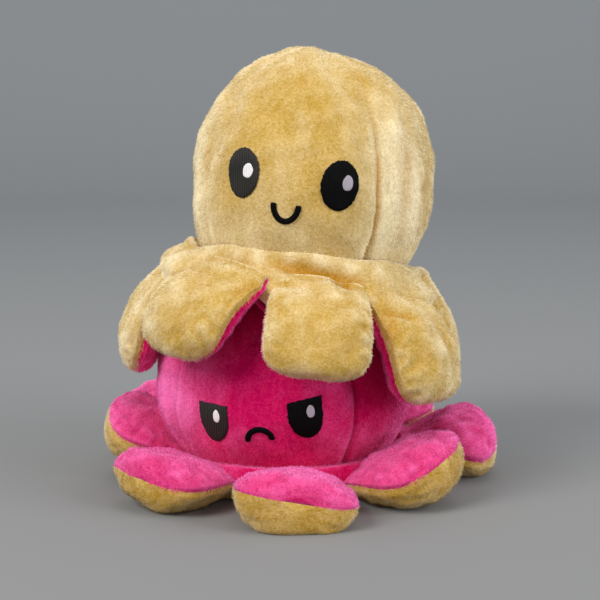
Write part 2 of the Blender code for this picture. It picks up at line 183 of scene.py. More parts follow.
print("A grid of 3 by 4 points has", len(grid_faces(3, 4)), "faces, or", len(grid_faces(3, 4, True)), "as a ring")

# %% [markdown]
# A fold in stuffed plush is a soft line where the cloth is pulled in or pushed out. Its hollow gets painted shade, a
# deeper colour where shade falls and the pile opens. A fold could be modelled edge by edge. Here it is a line in the
# photograph's pixels that rays carry on to the cloth, because that is how a fold is seen and measured. The same rays
# place the pale spots: painted light, or painted shade where their strength is negative, where the toy is lit brighter
# or darker, and in part where a hand has brushed the pile up.

# %% Folds, and spots of painted light and shade, placed by the photograph
# The fold colour is painted shade: a stroke that pushes in marks its hollow with it, in full at this depth.
FOLD_FULL_DEPTH = 2.5 * MM  # a fold this deep shows the whole of the fold colour


def distance_to_line(points, line):
    """Least distance of each point to a line of straight pieces, and the place along it from 0 to 1."""
    line = np.asarray(line, float)
    best = np.full(len(points), np.inf)
    place = np.zeros(len(points))
    for n in range(len(line) - 1):
        a, b = line[n], line[n + 1]
        ab = b - a
        t = np.clip(((points - a) @ ab) / max(ab @ ab, 1e-18), 0, 1)
        d = np.linalg.norm(points - a - t[:, None] * ab, axis=1)
        nearer = d < best
        best[nearer] = d[nearer]
        place[nearer] = ((n + t) / (len(line) - 1))[nearer]
    return best, place


def strokes(grid, wrap, marks):
    """Presses folds into a grid of points in the row frame. A mark is its line in the photograph's pixels, how
    far it pushes out in mm (in if negative) and its half width in mm. A mark fades out at its two ends. The
    second result is how deep in a fold each point lies, from 0 to 1."""
    depth = np.zeros(grid.shape[:2])
    for pixels, height, width in marks:
        tree = grid_tree(grid, wrap)
        hits = [tree.ray_cast(*photo_ray(px, py))[0] for px, py in pixels]
        line = [np.array(hit) for hit in hits if hit is not None]
        if len(line) < 2:
            print("A mark misses its piece:", pixels)
            continue
        near, place = distance_to_line(grid.reshape(-1, 3), line)
        fade = np.sin(np.pi * np.clip(place, 0.02, 0.98)) ** 0.6
        push = (height * MM * np.exp(-(near / (width * MM)) ** 2) * fade).reshape(depth.shape)
        grid = grid + grid_normals(grid, wrap) * push[:, :, None]
        if height < 0:
            depth = np.maximum(depth, np.clip(-push / FOLD_FULL_DEPTH, 0, 1))
    return grid, depth


def light_and_brush_spots(grid, wrap, spots):
    """How pale the pile shows, from 0 to 1: painted light, and painted shade where the strength is negative, where the
    toy is lit brighter or darker, and in part where a hand has brushed the pile up. A spot is a pixel of the
    photograph, a reach in mm and a strength."""
    flat = grid.reshape(-1, 3)
    tree = grid_tree(grid, wrap)
    total = np.zeros(len(flat))
    for px, py, reach, strength in spots:
        hit = tree.ray_cast(*photo_ray(px, py))[0]
        if hit is None:
            print("A brushed spot misses its piece:", px, py)
            continue
        total += strength * np.exp(-(np.linalg.norm(flat - np.array(hit), axis=1) / (reach * MM)) ** 2)
    return total.reshape(grid.shape[:2])


def relief(grid, wrap, rounds, rise=0.30, hollow=0.5):
    """Painted highlight on ridges and painted shade in hollows: how pale the pile shows on ridges and how deep it lies
    in hollows, from the shape of the grid itself.
    """
    soft = grid
    for _ in range(rounds):
        wide = np.pad(soft, ((1, 1), (0, 0), (0, 0)), mode="edge")
        wide = np.pad(wide, ((0, 0), (1, 1), (0, 0)), mode="wrap" if wrap else "edge")
        soft = (wide[1:-1, 1:-1] * 2 + wide[2:, 1:-1] + wide[:-2, 1:-1] + wide[1:-1, 2:] + wide[1:-1, :-2]) / 6
    out = ((grid - soft) * grid_normals(grid, wrap)).sum(2) / MM
    out = out - np.median(out)
    return np.clip(out * rise, 0, 0.45), np.clip(-out * hollow, 0, 0.8)


print("A ray through the middle of the frame looks along", [round(v, 3) for v in photo_ray(300, 300)[1]])

# %% [markdown]
# Plush is a knit with millions of upright fibres. Looked at along the fibres it is deep and rich in colour, and across
# them, at the edges and where it is brushed up, it is pale. So the colour is a mix of three: the plain one, the rim's,
# a painted sheen, and the fold's, a painted shade. Layer Weight finds the edges, and the attributes pale and groove
# carry the painted light and shade of the spots, ridges and folds that the shapes know. A shared group then adds
# patches, streaks and grain, and makes the light grains a little greyer than the dark ones, as fibre tips are, so the
# dark ones also carry the painted warmth of light that bounces between fibres.

# %% Node helpers and plush colours
# YELLOW_RIM and PINK_RIM are a painted sheen at grazing angles, and the fold colours a painted shade.
YELLOW, YELLOW_RIM = (0.505, 0.325, 0.080, 1), (0.990, 0.880, 0.600, 1)
PINK, PINK_RIM = (0.560, 0.002, 0.092, 1), (1.000, 0.215, 0.570, 1)
YELLOW_FOLD_SHADE, PINK_FOLD_SHADE = (0.430, 0.215, 0.024, 1), (0.190, 0.001, 0.020, 1)


def node(tree, kind, inputs=(), **settings):
    """A new node. inputs gives each socket's name or number a value, or another node's output to link."""
    item = tree.nodes.new(kind)
    for key, value in settings.items():
        setattr(item, key, value)
    for key, value in dict(inputs).items():
        if isinstance(value, bpy.types.NodeSocket):
            tree.links.new(value, item.inputs[key])
        else:
            item.inputs[key].default_value = value
    return item


def sums(tree, operation, *values, **settings):
    """The output of a Math node on these values or outputs."""
    return node(tree, "ShaderNodeMath", enumerate(values), operation=operation, **settings).outputs[0]


def mixed(tree, factor, first, second):
    """The output of a colour Mix node, whose three colour sockets are 0, 6 and 7."""
    return node(tree, "ShaderNodeMix", {0: factor, 6: first, 7: second}, data_type="RGBA").outputs[2]


def attribute(tree, name):
    return node(tree, "ShaderNodeAttribute", attribute_name=name).outputs["Fac"]


def new_group(name, kind, inputs, outputs):
    """A node group with its sockets: inputs are names, kinds and default values, outputs names and kinds."""
    tree = bpy.data.node_groups.new(name, kind)
    for socket, socket_kind, value in inputs:
        made = tree.interface.new_socket(socket, in_out="INPUT", socket_type="NodeSocket" + socket_kind)
        if value is not None:
            made.default_value = value
    for socket, socket_kind in outputs:
        tree.interface.new_socket(socket, in_out="OUTPUT", socket_type="NodeSocket" + socket_kind)
    return tree, tree.nodes.new("NodeGroupInput").outputs, tree.nodes.new("NodeGroupOutput")


print("Yellow", YELLOW[:3], "and pink", PINK[:3])

# %% The shared groups: grain of the pile and brush marks


def plush_group():
    """Colour and height of short pile: fine grain, brush streaks, soft patches and the tufts' own shades."""
    strengths = (("Patch size", 0.03), ("Patch strength", 0.09), ("Grain size", 0.0012),
                 ("Grain strength", 0.34), ("Streak strength", 0.20), ("Tuft strength", 0.17), ("Paling", 1.2))
    tree, given, out = new_group(
        "Plush pile", "ShaderNodeTree",
        [("Colour", "Color", None)] + [(name, "Float", value) for name, value in strengths],
        [("Colour", "Color"), ("Height", "Float")])
    where = tree.nodes.new("ShaderNodeTexCoord").outputs["Object"]

    def noise(size, factor, detail, stretch=None):
        at = where
        if stretch:
            at = node(tree, "ShaderNodeMapping", {"Vector": where, "Scale": stretch}).outputs[0]
        scale = sums(tree, "DIVIDE", factor, given[size])
        made = node(tree, "ShaderNodeTexNoise", {"Vector": at, "Scale": scale, "Detail": detail})
        return made.outputs["Fac"]

    def swing(value, strength):
        return sums(tree, "MULTIPLY", sums(tree, "SUBTRACT", value, 0.5), given[strength])

    patch = noise("Patch size", 1.0, 3)
    grain = noise("Grain size", 1.0, 2)
    streak = noise("Grain size", 0.22, 3, (1.0, 1.0, 0.3))
    tufts = sums(tree, "MULTIPLY_ADD", attribute(tree, "shade"), given["Tuft strength"],
                 swing(patch, "Patch strength"))
    broad = sums(tree, "ADD", tufts, swing(streak, "Streak strength"))
    fine = sums(tree, "ADD", broad, swing(grain, "Grain strength"))
    # Darker grains turn more saturated and lighter ones greyer: painted warmth of light that bounces between the
    # fibres.
    paling = sums(tree, "MULTIPLY", fine, given["Paling"])
    tint = node(tree, "ShaderNodeHueSaturation",
                {"Value": sums(tree, "MULTIPLY_ADD", fine, 2.0, 1.0),
                 "Saturation": sums(tree, "SUBTRACT", 1.0, paling), "Color": given["Colour"]})
    tree.links.new(tint.outputs[0], out.inputs["Colour"])
    tree.links.new(sums(tree, "ADD", grain, streak), out.inputs["Height"])
    return tree


def brush_group():
    """Soft marks where a hand has brushed the pile up, so it shows its pale sides."""
    tree, given, out = new_group("Brush marks", "ShaderNodeTree", [("Mark size", "Float", 0.016)],
                                 [("Mask", "Float")])
    where = tree.nodes.new("ShaderNodeTexCoord").outputs["Object"]
    longer = node(tree, "ShaderNodeMapping",
                  {"Vector": where, "Rotation": (0.35, 0.25, 0.6), "Scale": (1.0, 0.6, 0.7)})
    noise = node(tree, "ShaderNodeTexNoise",
                 {"Vector": longer.outputs[0], "Scale": sums(tree, "DIVIDE", 1.0, given[0]), "Detail": 3.0,
                  "Distortion": 0.6})
    spread = node(tree, "ShaderNodeMapRange", {"Value": noise.outputs["Fac"], "From Min": 0.46, "From Max": 0.72},
                  interpolation_type="SMOOTHSTEP")
    tree.links.new(spread.outputs[0], out.inputs[0])
    return tree


PLUSH, BRUSH = plush_group(), brush_group()
print("Groups:", PLUSH.name, "with", len(PLUSH.nodes), "nodes, and", BRUSH.name, "with", len(BRUSH.nodes))

# %% [markdown]
# Each colour has two materials: one for the cloth, with sheen and a fine bump, and one for the blades of its
# pile, which need neither because they are real shapes. They share the group, so cloth and blades agree. The
# pink one keeps its light grains nearly as full as its dark ones, because pink that pales looks dusty.

# %% Plush materials


def plush(name, colour, rim, fold, sheen, tint, power, bump=0.6, grain=0.34, streak=0.20, paling=1.2):
    """A plush material. power is how narrow its painted sheen at the rim is."""
    material = bpy.data.materials.new(name)
    material.use_nodes = True
    tree = material.node_tree
    edge = node(tree, "ShaderNodeLayerWeight", {"Blend": 0.5}).outputs["Facing"]
    marks = node(tree, "ShaderNodeGroup", node_tree=BRUSH).outputs[0]
    # The rim colour mixes in as a painted sheen at grazing angles, together with the painted light of the pale
    # attribute and the brush marks; the fold colour mixes in as painted shade where the groove attribute is.
    risen = sums(tree, "ADD", sums(tree, "POWER", edge, power), attribute(tree, "pale"))
    paler = sums(tree, "MULTIPLY_ADD", marks, 0.12, risen, use_clamp=True)
    toward = mixed(tree, paler, colour, rim)
    inside = mixed(tree, attribute(tree, "groove"), toward, fold)
    group = node(tree, "ShaderNodeGroup", node_tree=PLUSH)
    for key, value in (("Grain strength", grain), ("Streak strength", streak), ("Paling", paling)):
        group.inputs[key].default_value = value
    tree.links.new(inside, group.inputs["Colour"])
    shader = tree.nodes["Principled BSDF"]
    for key, value in (("Roughness", 0.85), ("Specular IOR Level", 0.05 if bump else 0.0),
                       ("Sheen Weight", sheen), ("Sheen Roughness", 0.45), ("Sheen Tint", tint)):
        shader.inputs[key].default_value = value
    tree.links.new(group.outputs["Colour"], shader.inputs["Base Color"])
    if bump:
        raised = node(tree, "ShaderNodeBump",
                      {"Strength": bump, "Distance": 1 * MM, "Height": group.outputs["Height"]})
        tree.links.new(raised.outputs[0], shader.inputs["Normal"])
    return material


YELLOW_SET, PINK_SET = (YELLOW, YELLOW_RIM, YELLOW_FOLD_SHADE), (PINK, PINK_RIM, PINK_FOLD_SHADE)
BLADES = {"bump": 0.0, "grain": 0.10, "streak": 0.08}
MATERIALS = {
    "yellow": plush("yellow_plush", *YELLOW_SET, 0.3, (1.0, 0.90, 0.70, 1), 3.0),
    "pink": plush("pink_plush", *PINK_SET, 0.3, (1.0, 0.40, 0.75, 1), 2.4, paling=0.2),
    "yellow_pile": plush("yellow_pile", *YELLOW_SET, 0.0, YELLOW_RIM, 3.0, **BLADES),
    "pink_pile": plush("pink_pile", *PINK_SET, 0.0, PINK_RIM, 2.4, paling=0.2, **BLADES),
}
print("Plush materials:", [material.name for material in MATERIALS.values()])

# %% [markdown]
# The eyes, highlights and mouths are satin stitch: glossy thread laid side by side. Threads could be modelled one by
# one, but at this size only their stripes show, so a wave texture raises them and paints a highlight on each thread's
# top. The left eyes catch the lamp and are greyer in the photograph, so they have a thread of their own. The right
# highlights turn away from the lamp, and their white thread is darker, a painted shade.

# %% Thread materials
STITCH_SCALE = 380.0  # a stripe every 0.8 mm


def thread(name, colour, rough, gloss=0.12, lighter=1.2):
    """Satin stitch, with a painted highlight on the tops of its threads, which are this much lighter there."""
    material = bpy.data.materials.new(name)
    material.use_nodes = True
    tree = material.node_tree
    where = tree.nodes.new("ShaderNodeTexCoord").outputs["Object"]
    lines = node(tree, "ShaderNodeTexWave",
                 {"Vector": where, "Scale": STITCH_SCALE, "Distortion": 1.5, "Detail": 1.0},
                 wave_type="BANDS", bands_direction="X").outputs["Fac"]
    raised = node(tree, "ShaderNodeBump", {"Strength": 0.8, "Distance": 0.4 * MM, "Height": lines})
    top = tuple(min(c * lighter + 0.002, 1) for c in colour[:3]) + (1,)
    shader = tree.nodes["Principled BSDF"]
    for key, value in (("Base Color", colour), ("Roughness", rough), ("Specular IOR Level", gloss)):
        shader.inputs[key].default_value = value
    tree.links.new(mixed(tree, lines, colour, top), shader.inputs["Base Color"])
    tree.links.new(raised.outputs[0], shader.inputs["Normal"])
    return material


MATERIALS["black"] = thread("black_thread", (0.001, 0.001, 0.0013, 1), 0.6, 0.05, 2.4)
MATERIALS["lit_black"] = thread("lit_black_thread", (0.0145, 0.014, 0.0125, 1), 0.5, 0.15, 2.4)
MATERIALS["white"] = thread("white_thread", (0.80, 0.78, 0.80, 1), 0.5)
# A darker copy of the white thread for the right highlights, which turn away from the lamp: painted shade.
MATERIALS["shaded_white"] = thread("shaded_white_thread", (0.36, 0.33, 0.38, 1), 0.5)

# %% [markdown]
# The pile is a millimetre or two long and lies in a nap, the way a hand last stroked it. A texture would leave
# the toy's outline smooth, and a hair system stays in Blender. So Geometry Nodes sets a three-sided blade on
# every point that it scatters over the cloth, leans it along the nap with some disorder, and makes one plain
# mesh of them all. Blades that would stand through the stitched faces are left out.

# %% The pile group: short blades that follow the nap


def vectors(tree, operation, first, second):
    """The output of a Vector Math node on two vectors, or on a vector and the number that scales it."""
    key = "Scale" if operation == "SCALE" else 1
    return node(tree, "ShaderNodeVectorMath", {0: first, key: second}, operation=operation).outputs[0]


def cloth_value(tree, name, kind="FLOAT_VECTOR"):
    """What the cloth under a blade carries as an attribute of this name."""
    return node(tree, "GeometryNodeInputNamedAttribute", {"Name": name}, data_type=kind).outputs[0]


def pile_group():
    """Blades over a mesh that carries the attributes nap, outward and full."""
    floats = (("Density", 4.0e6), ("Length", 0.0026), ("Width", 0.0006), ("Rise", 0.9), ("Disorder", 0.35),
              ("Clump size", 0.0032), ("Clump strength", 0.3))
    tree, given, out = new_group(
        "Short pile", "GeometryNodeTree",
        [("Geometry", "Geometry", None)] + [(name, "Float", value) for name, value in floats]
        + [("Seed", "Int", 1), ("Clear distance", "Float", 0.0010), ("Keep clear of", "Collection", None),
           ("Material", "Material", None)],
        [("Geometry", "Geometry")])
    seed, normal = given["Seed"], cloth_value(tree, "outward")

    # points on the cloth, without those near the stitches
    scatter = node(tree, "GeometryNodeDistributePointsOnFaces",
                   {"Mesh": given["Geometry"], "Density": given["Density"], "Seed": seed})
    threads = node(tree, "GeometryNodeCollectionInfo", {"Collection": given["Keep clear of"]})
    flat = node(tree, "GeometryNodeRealizeInstances", {0: threads.outputs[0]})
    near = node(tree, "GeometryNodeProximity", {0: flat.outputs[0]})
    close = node(tree, "FunctionNodeCompare", {0: near.outputs["Distance"], 1: given["Clear distance"]},
                 data_type="FLOAT", operation="LESS_THAN")
    valid = node(tree, "FunctionNodeBooleanMath", {0: close.outputs[0], 1: near.outputs["Is Valid"]},
                 operation="AND")
    bare = node(tree, "GeometryNodeDeleteGeometry",
                {"Geometry": scatter.outputs["Points"], "Selection": valid.outputs[0]}, domain="POINT")
    sink = vectors(tree, "SCALE", normal, sums(tree, "MULTIPLY", given["Width"], -0.5))
    rooted = node(tree, "GeometryNodeSetPosition", {"Geometry": bare.outputs[0], "Offset": sink})

    # the way each blade leans: the nap, clumps, some disorder, and up off the cloth
    clump = node(tree, "ShaderNodeTexNoise",
                 {"Vector": tree.nodes.new("GeometryNodeInputPosition").outputs[0],
                  "Scale": sums(tree, "DIVIDE", 1.0, given["Clump size"]), "Detail": 1.0})
    middle = vectors(tree, "SUBTRACT", clump.outputs["Color"], (0.5, 0.5, 0.5))
    jitter = node(tree, "FunctionNodeRandomValue", {0: (-1, -1, -1), 1: (1, 1, 1), "Seed": seed},
                  data_type="FLOAT_VECTOR")
    stray = vectors(tree, "ADD", vectors(tree, "SCALE", middle, given["Clump strength"]),
                    vectors(tree, "SCALE", jitter.outputs[0], given["Disorder"]))
    leaning = vectors(tree, "ADD", cloth_value(tree, "nap"), stray)
    way = vectors(tree, "ADD", leaning, vectors(tree, "SCALE", normal, given["Rise"]))
    lean = node(tree, "FunctionNodeAlignRotationToVector", {"Vector": way}, axis="Z")
    turn = node(tree, "FunctionNodeAlignRotationToVector", {"Rotation": lean.outputs[0], "Vector": normal},
                axis="X", pivot_axis="Z")

    # the blade itself: a cone of three sides, turned so that a flat side faces outwards
    blade = node(tree, "GeometryNodeMeshCone", {"Vertices": 3, "Side Segments": 1, "Radius Top": 0.0,
                                                "Radius Bottom": 1.0, "Depth": 1.0}, fill_type="NGON")
    half = sums(tree, "MULTIPLY", given["Width"], 0.5)
    size = node(tree, "ShaderNodeCombineXYZ", {0: half, 1: half, 2: given["Length"]})
    shape = node(tree, "GeometryNodeTransform", {"Geometry": blade.outputs["Mesh"], "Scale": size.outputs[0],
                                                 "Rotation": (0.0, 0.0, math.pi)})
    sizes = node(tree, "FunctionNodeRandomValue", {2: 0.7, 3: 1.2, "Seed": seed}, data_type="FLOAT")
    grown = sums(tree, "MULTIPLY", sizes.outputs[1], cloth_value(tree, "full", "FLOAT"))
    tufts = node(tree, "GeometryNodeInstanceOnPoints", {"Points": rooted.outputs[0], "Instance": shape.outputs[0],
                                                        "Rotation": turn.outputs[0], "Scale": grown})
    real = node(tree, "GeometryNodeRealizeInstances", {0: tufts.outputs[0]})
    dressed = node(tree, "GeometryNodeSetMaterial", {"Geometry": real.outputs[0], "Material": given["Material"]})
    tree.links.new(dressed.outputs[0], out.inputs[0])
    return tree


PILE = pile_group()
PILE_INPUTS = {item.name: item.identifier for item in PILE.interface.items_tree
               if item.item_type == "SOCKET" and item.in_out == "INPUT"}
print("The pile group has", len(PILE.nodes), "nodes and the inputs", ", ".join(PILE_INPUTS))

# %% [markdown]
# The group runs as a modifier on a grid of cloth that knows its nap, and the result is copied out as a mesh.
# Lit by their own faces, a million blades turn to grey noise, so they borrow the cloth's normal and keep only a little
# of their own. They cast no shadows, so a blade gets painted shade at its root and a painted highlight at its tip. It
# has a shade of its own, and lies in a cell of its own on the UV map that a bake of the colours uses.

# %% Growing the pile
PILE_DENSITY = 2.0 * 1e6  # blades on a square metre
PILE_LENGTH, BLADE_WIDTH = 1.6 * MM, 0.48 * MM
PILE_RISE = 0.8  # how steeply the blades stand, against 1 for the nap
PILE_DEPTH = 0.6 * MM  # the cloth lies this far under the toy's outline
OWN_NORMAL, OWN_FACING = 0.10, 0.03
# Painted shade at a blade's root and a painted highlight at its tip, since the blades cast no shadows.
ROOT_PAINTED_SHADE, TIP_PAINTED_HIGHLIGHT = 0.13, 0.12
FLOOR_CLEAR = 0.1 * MM
BLADE_CELL, BLADE_TIP = [(0.05, 0.05), (0.5, 0.35), (0.95, 0.05)], (0.5, 0.95)
nothing = bpy.data.collections.new("nothing")
stitched = {name: bpy.data.collections.new(f"{name}_stitches") for name in TOYS}


def unit(ways):
    return ways / np.maximum(np.linalg.norm(ways, axis=-1, keepdims=True), 1e-12)


def read(data, key, kind=np.float32, width=3):
    """What each point, corner or attribute entry of a mesh holds, as one array."""
    values = np.empty(len(data) * width, kind)
    data.foreach_get(key, values)
    return values.reshape(-1, width)


def nap_turned(points, nap, normal, seed):
    """The way the pile leans, turned about the surface by soft patches, as if a hand had brushed it."""
    angle = 0.5 * waves(points, 0.022, seed) + 0.25 * waves(points, 0.008, seed + 1)
    return unit(nap * np.cos(angle)[:, None] + np.cross(normal, nap) * np.sin(angle)[:, None])


def pile_roots(name, grid, wrap, seed, nap_rows, values):
    """The cloth that the blades stand on, with the way they lean and the values that they take over."""
    flat = grid.reshape(-1, 3)
    normal = grid_normals(grid, wrap).reshape(-1, 3)
    along = np.gradient(grid, axis=0).reshape(-1, 3) * nap_rows
    along = unit(along - normal * (along * normal).sum(1)[:, None])
    mesh = bpy.data.meshes.new(name + "_roots")
    mesh.from_pydata(flat.tolist(), [], grid_faces(*grid.shape[:2], wrap))
    for key, ways in (("nap", nap_turned(flat, along, normal, seed)), ("outward", normal)):
        mesh.attributes.new(key, "FLOAT_VECTOR", "POINT").data.foreach_set("vector", ways.astype(np.float32).ravel())
    for key, given in values.items():
        given = np.broadcast_to(given, grid.shape[:2]).astype(np.float32)
        mesh.attributes.new(key, "FLOAT", "POINT").data.foreach_set("value", given.ravel())
    roots = bpy.data.objects.new(name + "_roots", mesh)
    bpy.context.collection.objects.link(roots)
    return roots


def blades_on(roots, colour, seed, clear):
    """The blades that the pile group grows on the roots, as a plain mesh."""
    modifier = roots.modifiers.new("pile", "NODES")
    modifier.node_group = PILE
    for key, value in (("Density", PILE_DENSITY), ("Length", PILE_LENGTH), ("Width", BLADE_WIDTH),
                       ("Rise", PILE_RISE), ("Seed", seed), ("Keep clear of", clear),
                       ("Material", MATERIALS[colour + "_pile"])):
        modifier[PILE_INPUTS[key]] = value
    bpy.context.view_layer.update()
    blades = bpy.data.meshes.new_from_object(roots.evaluated_get(bpy.context.evaluated_depsgraph_get()))
    bpy.data.objects.remove(roots)
    return blades


def blade_normals(sides, outward):
    """The cloth's normal at each corner of a blade's sides, with a little of each side's own."""
    own = unit(np.cross(sides[:, 1] - sides[:, 0], sides[:, 2] - sides[:, 0]))[:, None, :]
    both = unit((1 - OWN_NORMAL) * outward.reshape(-1, 3, 3) + OWN_NORMAL * own)
    facing = (both * own).sum(2, keepdims=True)
    return unit(both + own * np.maximum(OWN_FACING - facing, 0))


def shade_blades(blades, tip, first, seed):
    """Painted shade at the roots and a painted highlight at the tips, and a shade for each blade from where its first
    point is.
    """
    for key, at_root, at_tip in (("groove", ROOT_PAINTED_SHADE, 0.0), ("pale", -ROOT_PAINTED_SHADE, TIP_PAINTED_HIGHLIGHT)):
        entries = blades.attributes[key].data
        values = read(entries, "value", width=1).reshape(-1, 4) + at_root
        values[:, tip] += at_tip - at_root
        entries.foreach_set("value", values.ravel())
    tuft = 0.22 * waves(first, 0.0035, seed, 12) + np.random.default_rng(seed).uniform(-0.35, 0.35, len(first))
    tuft = np.repeat(np.clip(tuft, -0.6, 0.6), 4)
    blades.attributes.new("shade", "FLOAT", "FACE").data.foreach_set("value", tuft.astype(np.float32))


def grow_pile(name, grid, wrap, colour, seed, groove, pale, full=1.0, nap_rows=1.0, clear=nothing):
    """A piece of blades over a grid of points in the row frame, which lean along its rows."""
    roots = pile_roots(name, grid, wrap, seed, nap_rows, {"full": full, "groove": groove, "pale": pale})
    blades = blades_on(roots, colour, seed, clear)
    blades.name = name
    corners = read(blades.loops, "vertex_index", np.int32, 1)[:, 0]
    points = read(blades.vertices, "co")
    points[:, 2] = np.maximum(points[:, 2], FLOOR_CLEAR)
    blades.vertices.foreach_set("co", points.ravel())
    sides = points[corners].reshape(-1, 3, 3)
    normals = blade_normals(sides, read(blades.attributes["outward"].data, "vector")[corners])
    for key in ("outward", "nap", "full"):
        if key in blades.attributes:
            blades.attributes.remove(blades.attributes[key])
    tip = int(np.argmax(np.linalg.norm(points[:4] - points[:4].mean(0), axis=1)))
    shade_blades(blades, tip, sides[::4, 0], seed)
    cells = math.ceil(math.sqrt(len(sides) / 4))
    spread = np.insert(np.array(BLADE_CELL), tip, BLADE_TIP, 0)
    blade, corner = corners // 4, corners % 4
    unwrapped = (np.stack([blade % cells, blade // cells], 1) + spread[corner]) / cells
    blades.uv_layers.new(name="OFBake").uv.foreach_set("vector", unwrapped.astype(np.float32).ravel())
    blades.shade_smooth()
    blades.normals_split_custom_set(normals.reshape(-1, 3).tolist())
    item = bpy.data.objects.new(name, blades)
    item.visible_shadow = False
    item.visible_diffuse = False
    bpy.context.collection.objects.link(item)
    print(name, len(sides) // 4, "blades")
    return item


print("A square centimetre of pile has", round(PILE_DENSITY / 1e4), "blades")

# %% [markdown]
# Cloth and thread are closed pieces with some thickness, since a sheet without one has no inside to fill. The tool is
# the same for all of them: it takes points and faces, turns every face outwards, writes how deep in a fold and how pale
# each point is, which carry painted shade and painted light, and gives the material and its slot.

# %% Making a closed piece


def make_piece(name, points, faces, colour, groove=None, first=0, pale=None):
    """A closed piece of cloth or thread. groove is how deep in a fold its points lie, for painted shade, and pale how
    much painted light they get, from point first on."""
    mesh = bpy.data.meshes.new(name)
    mesh.from_pydata([tuple(p) for p in points], [], faces)
    for key, given in (("groove", groove), ("pale", pale)):
        if given is not None:
            values = np.zeros(len(mesh.vertices), np.float32)
            values[first:first + given.size] = given.ravel()
            mesh.attributes.new(key, "FLOAT", "POINT").data.foreach_set("value", values)
    mesh.validate()
    work = bmesh.new()
    work.from_mesh(mesh)
    bmesh.ops.recalc_face_normals(work, faces=work.faces)
    work.to_mesh(mesh)
    work.free()
    mesh.shade_smooth()
    mesh.materials.append(MATERIALS[colour])
    item = bpy.data.objects.new(name, mesh)
    bpy.context.collection.objects.link(item)
    return item


def capped(rings, last_pole, first_pole):
    """Points and faces of a closed shape from rings of points and the two points that close its ends."""
    rows, columns = rings.shape[:2]
    points = np.concatenate([rings.reshape(-1, 3), [last_pole, first_pole]])
    faces = grid_faces(rows, columns, True)
    last, end = (rows - 1) * columns, len(points)
    for j in range(columns):
        k = (j + 1) % columns
        faces += [(last + j, last + k, end - 2), (k, j, end - 1)]
    return points, faces


def round_azimuths(columns):
    return np.linspace(0, 360, columns, endpoint=False)


def pocket_rings(azimuth, outside, turns):
    """Rings round the pocket this far outside it, at these shares of the way from its mouth to its pole."""
    angles, power = [0.5 * np.pi * turn for turn in turns], 2 / DOME_POWER
    return [around(azimuth, (POCKET_RADIUS + outside) * np.cos(angle) ** power,
                   (POCKET_TOP + outside) * np.sin(angle) ** power) for angle in angles]


print("The pocket is", round(POCKET_TOP / MM), "mm deep and", round(2 * POCKET_RADIUS / MM), "mm wide")

# %% [markdown]
# A head is four gores of plush, sewn edge to edge and stuffed. Each seam pulls the cloth in and the filling
# pushes it out between seams, in soft lumps that no two toys share. One piece takes the place of four panels
# and their filling, because sewn cloth reads as one skin. The dents are those that the photograph shows.

# %% The heads' outline and seams
HEAD_ROWS, HEAD_COLUMNS = 84, 216
# seams in the order front right, back right, back left, front left: how far they pull in, in mm, and how strongly they
# show in painted shade
SEAM_PULL = {"upper": [2.4, 1.6, 1.6, 0.9], "lower": [1.6, 1.4, 1.4, 0.9]}
SEAM_SHOWS = {"upper": [1.0, 0.5, 0.5, 0.3], "lower": [0.6, 0.5, 0.5, 0.25]}


def head_outline(toy, count):
    """Radius and height at even steps along the head's side, from the neck seam to the pole."""
    low = np.linspace(0, toy["bulge"], 60)
    below = (toy["bulge"] - low) / toy["bulge"]
    first = np.stack([toy["radius"] - (toy["radius"] - NECK) * below ** FLARE_POWER, low], 1)
    angle = np.linspace(0, np.pi / 2, 200)[1:]
    power = 2 / DOME_POWER
    second = np.stack([toy["radius"] * np.cos(angle).clip(0) ** power,
                       toy["bulge"] + (toy["height"] - toy["bulge"]) * np.sin(angle) ** power], 1)
    line = np.concatenate([first, second])
    along = np.concatenate([[0], np.cumsum(np.linalg.norm(np.diff(line, axis=0), axis=1))])
    even = np.linspace(0, along[-1], count)
    return np.stack([np.interp(even, along, line[:, 0]), np.interp(even, along, line[:, 1])], 1)


def seam_arcs(toy):
    """For each seam, how far the points of the head's grid lie from it along the cloth."""
    radius = head_outline(toy, HEAD_ROWS + 1)[:-1, :1]
    offs = [(round_azimuths(HEAD_COLUMNS) - FIRST_SEAM - 90 * n + 180) % 360 - 180 for n in range(SEAM_COUNT)]
    return [np.abs(np.radians(off))[None, :] * radius for off in offs]


def seam_depth(name, toy):
    """How clearly the seams show in painted shade, from 0 to 1: clearest low on the head, where the cloth is pulled
    tight.
    """
    share = np.linspace(0, 1, HEAD_ROWS)[:, None]
    low = 0.25 + 0.75 * (1 - smoothstep((share - 0.25) / 0.45))
    shown = [low * shows * np.exp(-(arc / (1.2 * MM)) ** 2) for arc, shows in zip(seam_arcs(toy), SEAM_SHOWS[name])]
    return np.max(shown, axis=0)


def seam_fullness(toy):
    """How long the pile stands: short where a seam has caught it."""
    return np.prod([1 - 0.75 * np.exp(-(arc / (1.1 * MM)) ** 2) for arc in seam_arcs(toy)], axis=0)


print("Half outlines in mm:", {name: (head_outline(toy, 4) / MM).round(1).tolist() for name, toy in TOYS.items()})

# %% The heads' dents, folds and spots of painted light and shade
# azimuth in degrees, then radius, height, push (in if negative) and reach in mm
HEAD_DENTS = [(-80, 45, 80, -1.2, 24), (-88, 58, 22, -3.6, 22), (-80, 60, 45, -2.0, 20), (-90, 14, 98, 2.8, 15),
              (80, 9, 99, -2.8, 16), (85, 44, 83, 2.4, 15), (92, 50, 4, -2.5, 12)]
HEAD_MARKS = {
    "upper": [
        ([(428, 150), (424, 200), (418, 240)], -1.0, 6),
        ([(402, 110), (408, 160), (404, 215), (396, 250)], -1.2, 5),
        ([(300, 56), (303, 78), (300, 95)], -0.6, 3),
        ([(215, 120), (208, 165), (211, 200)], -0.6, 4),
    ],
    "lower": [],
}
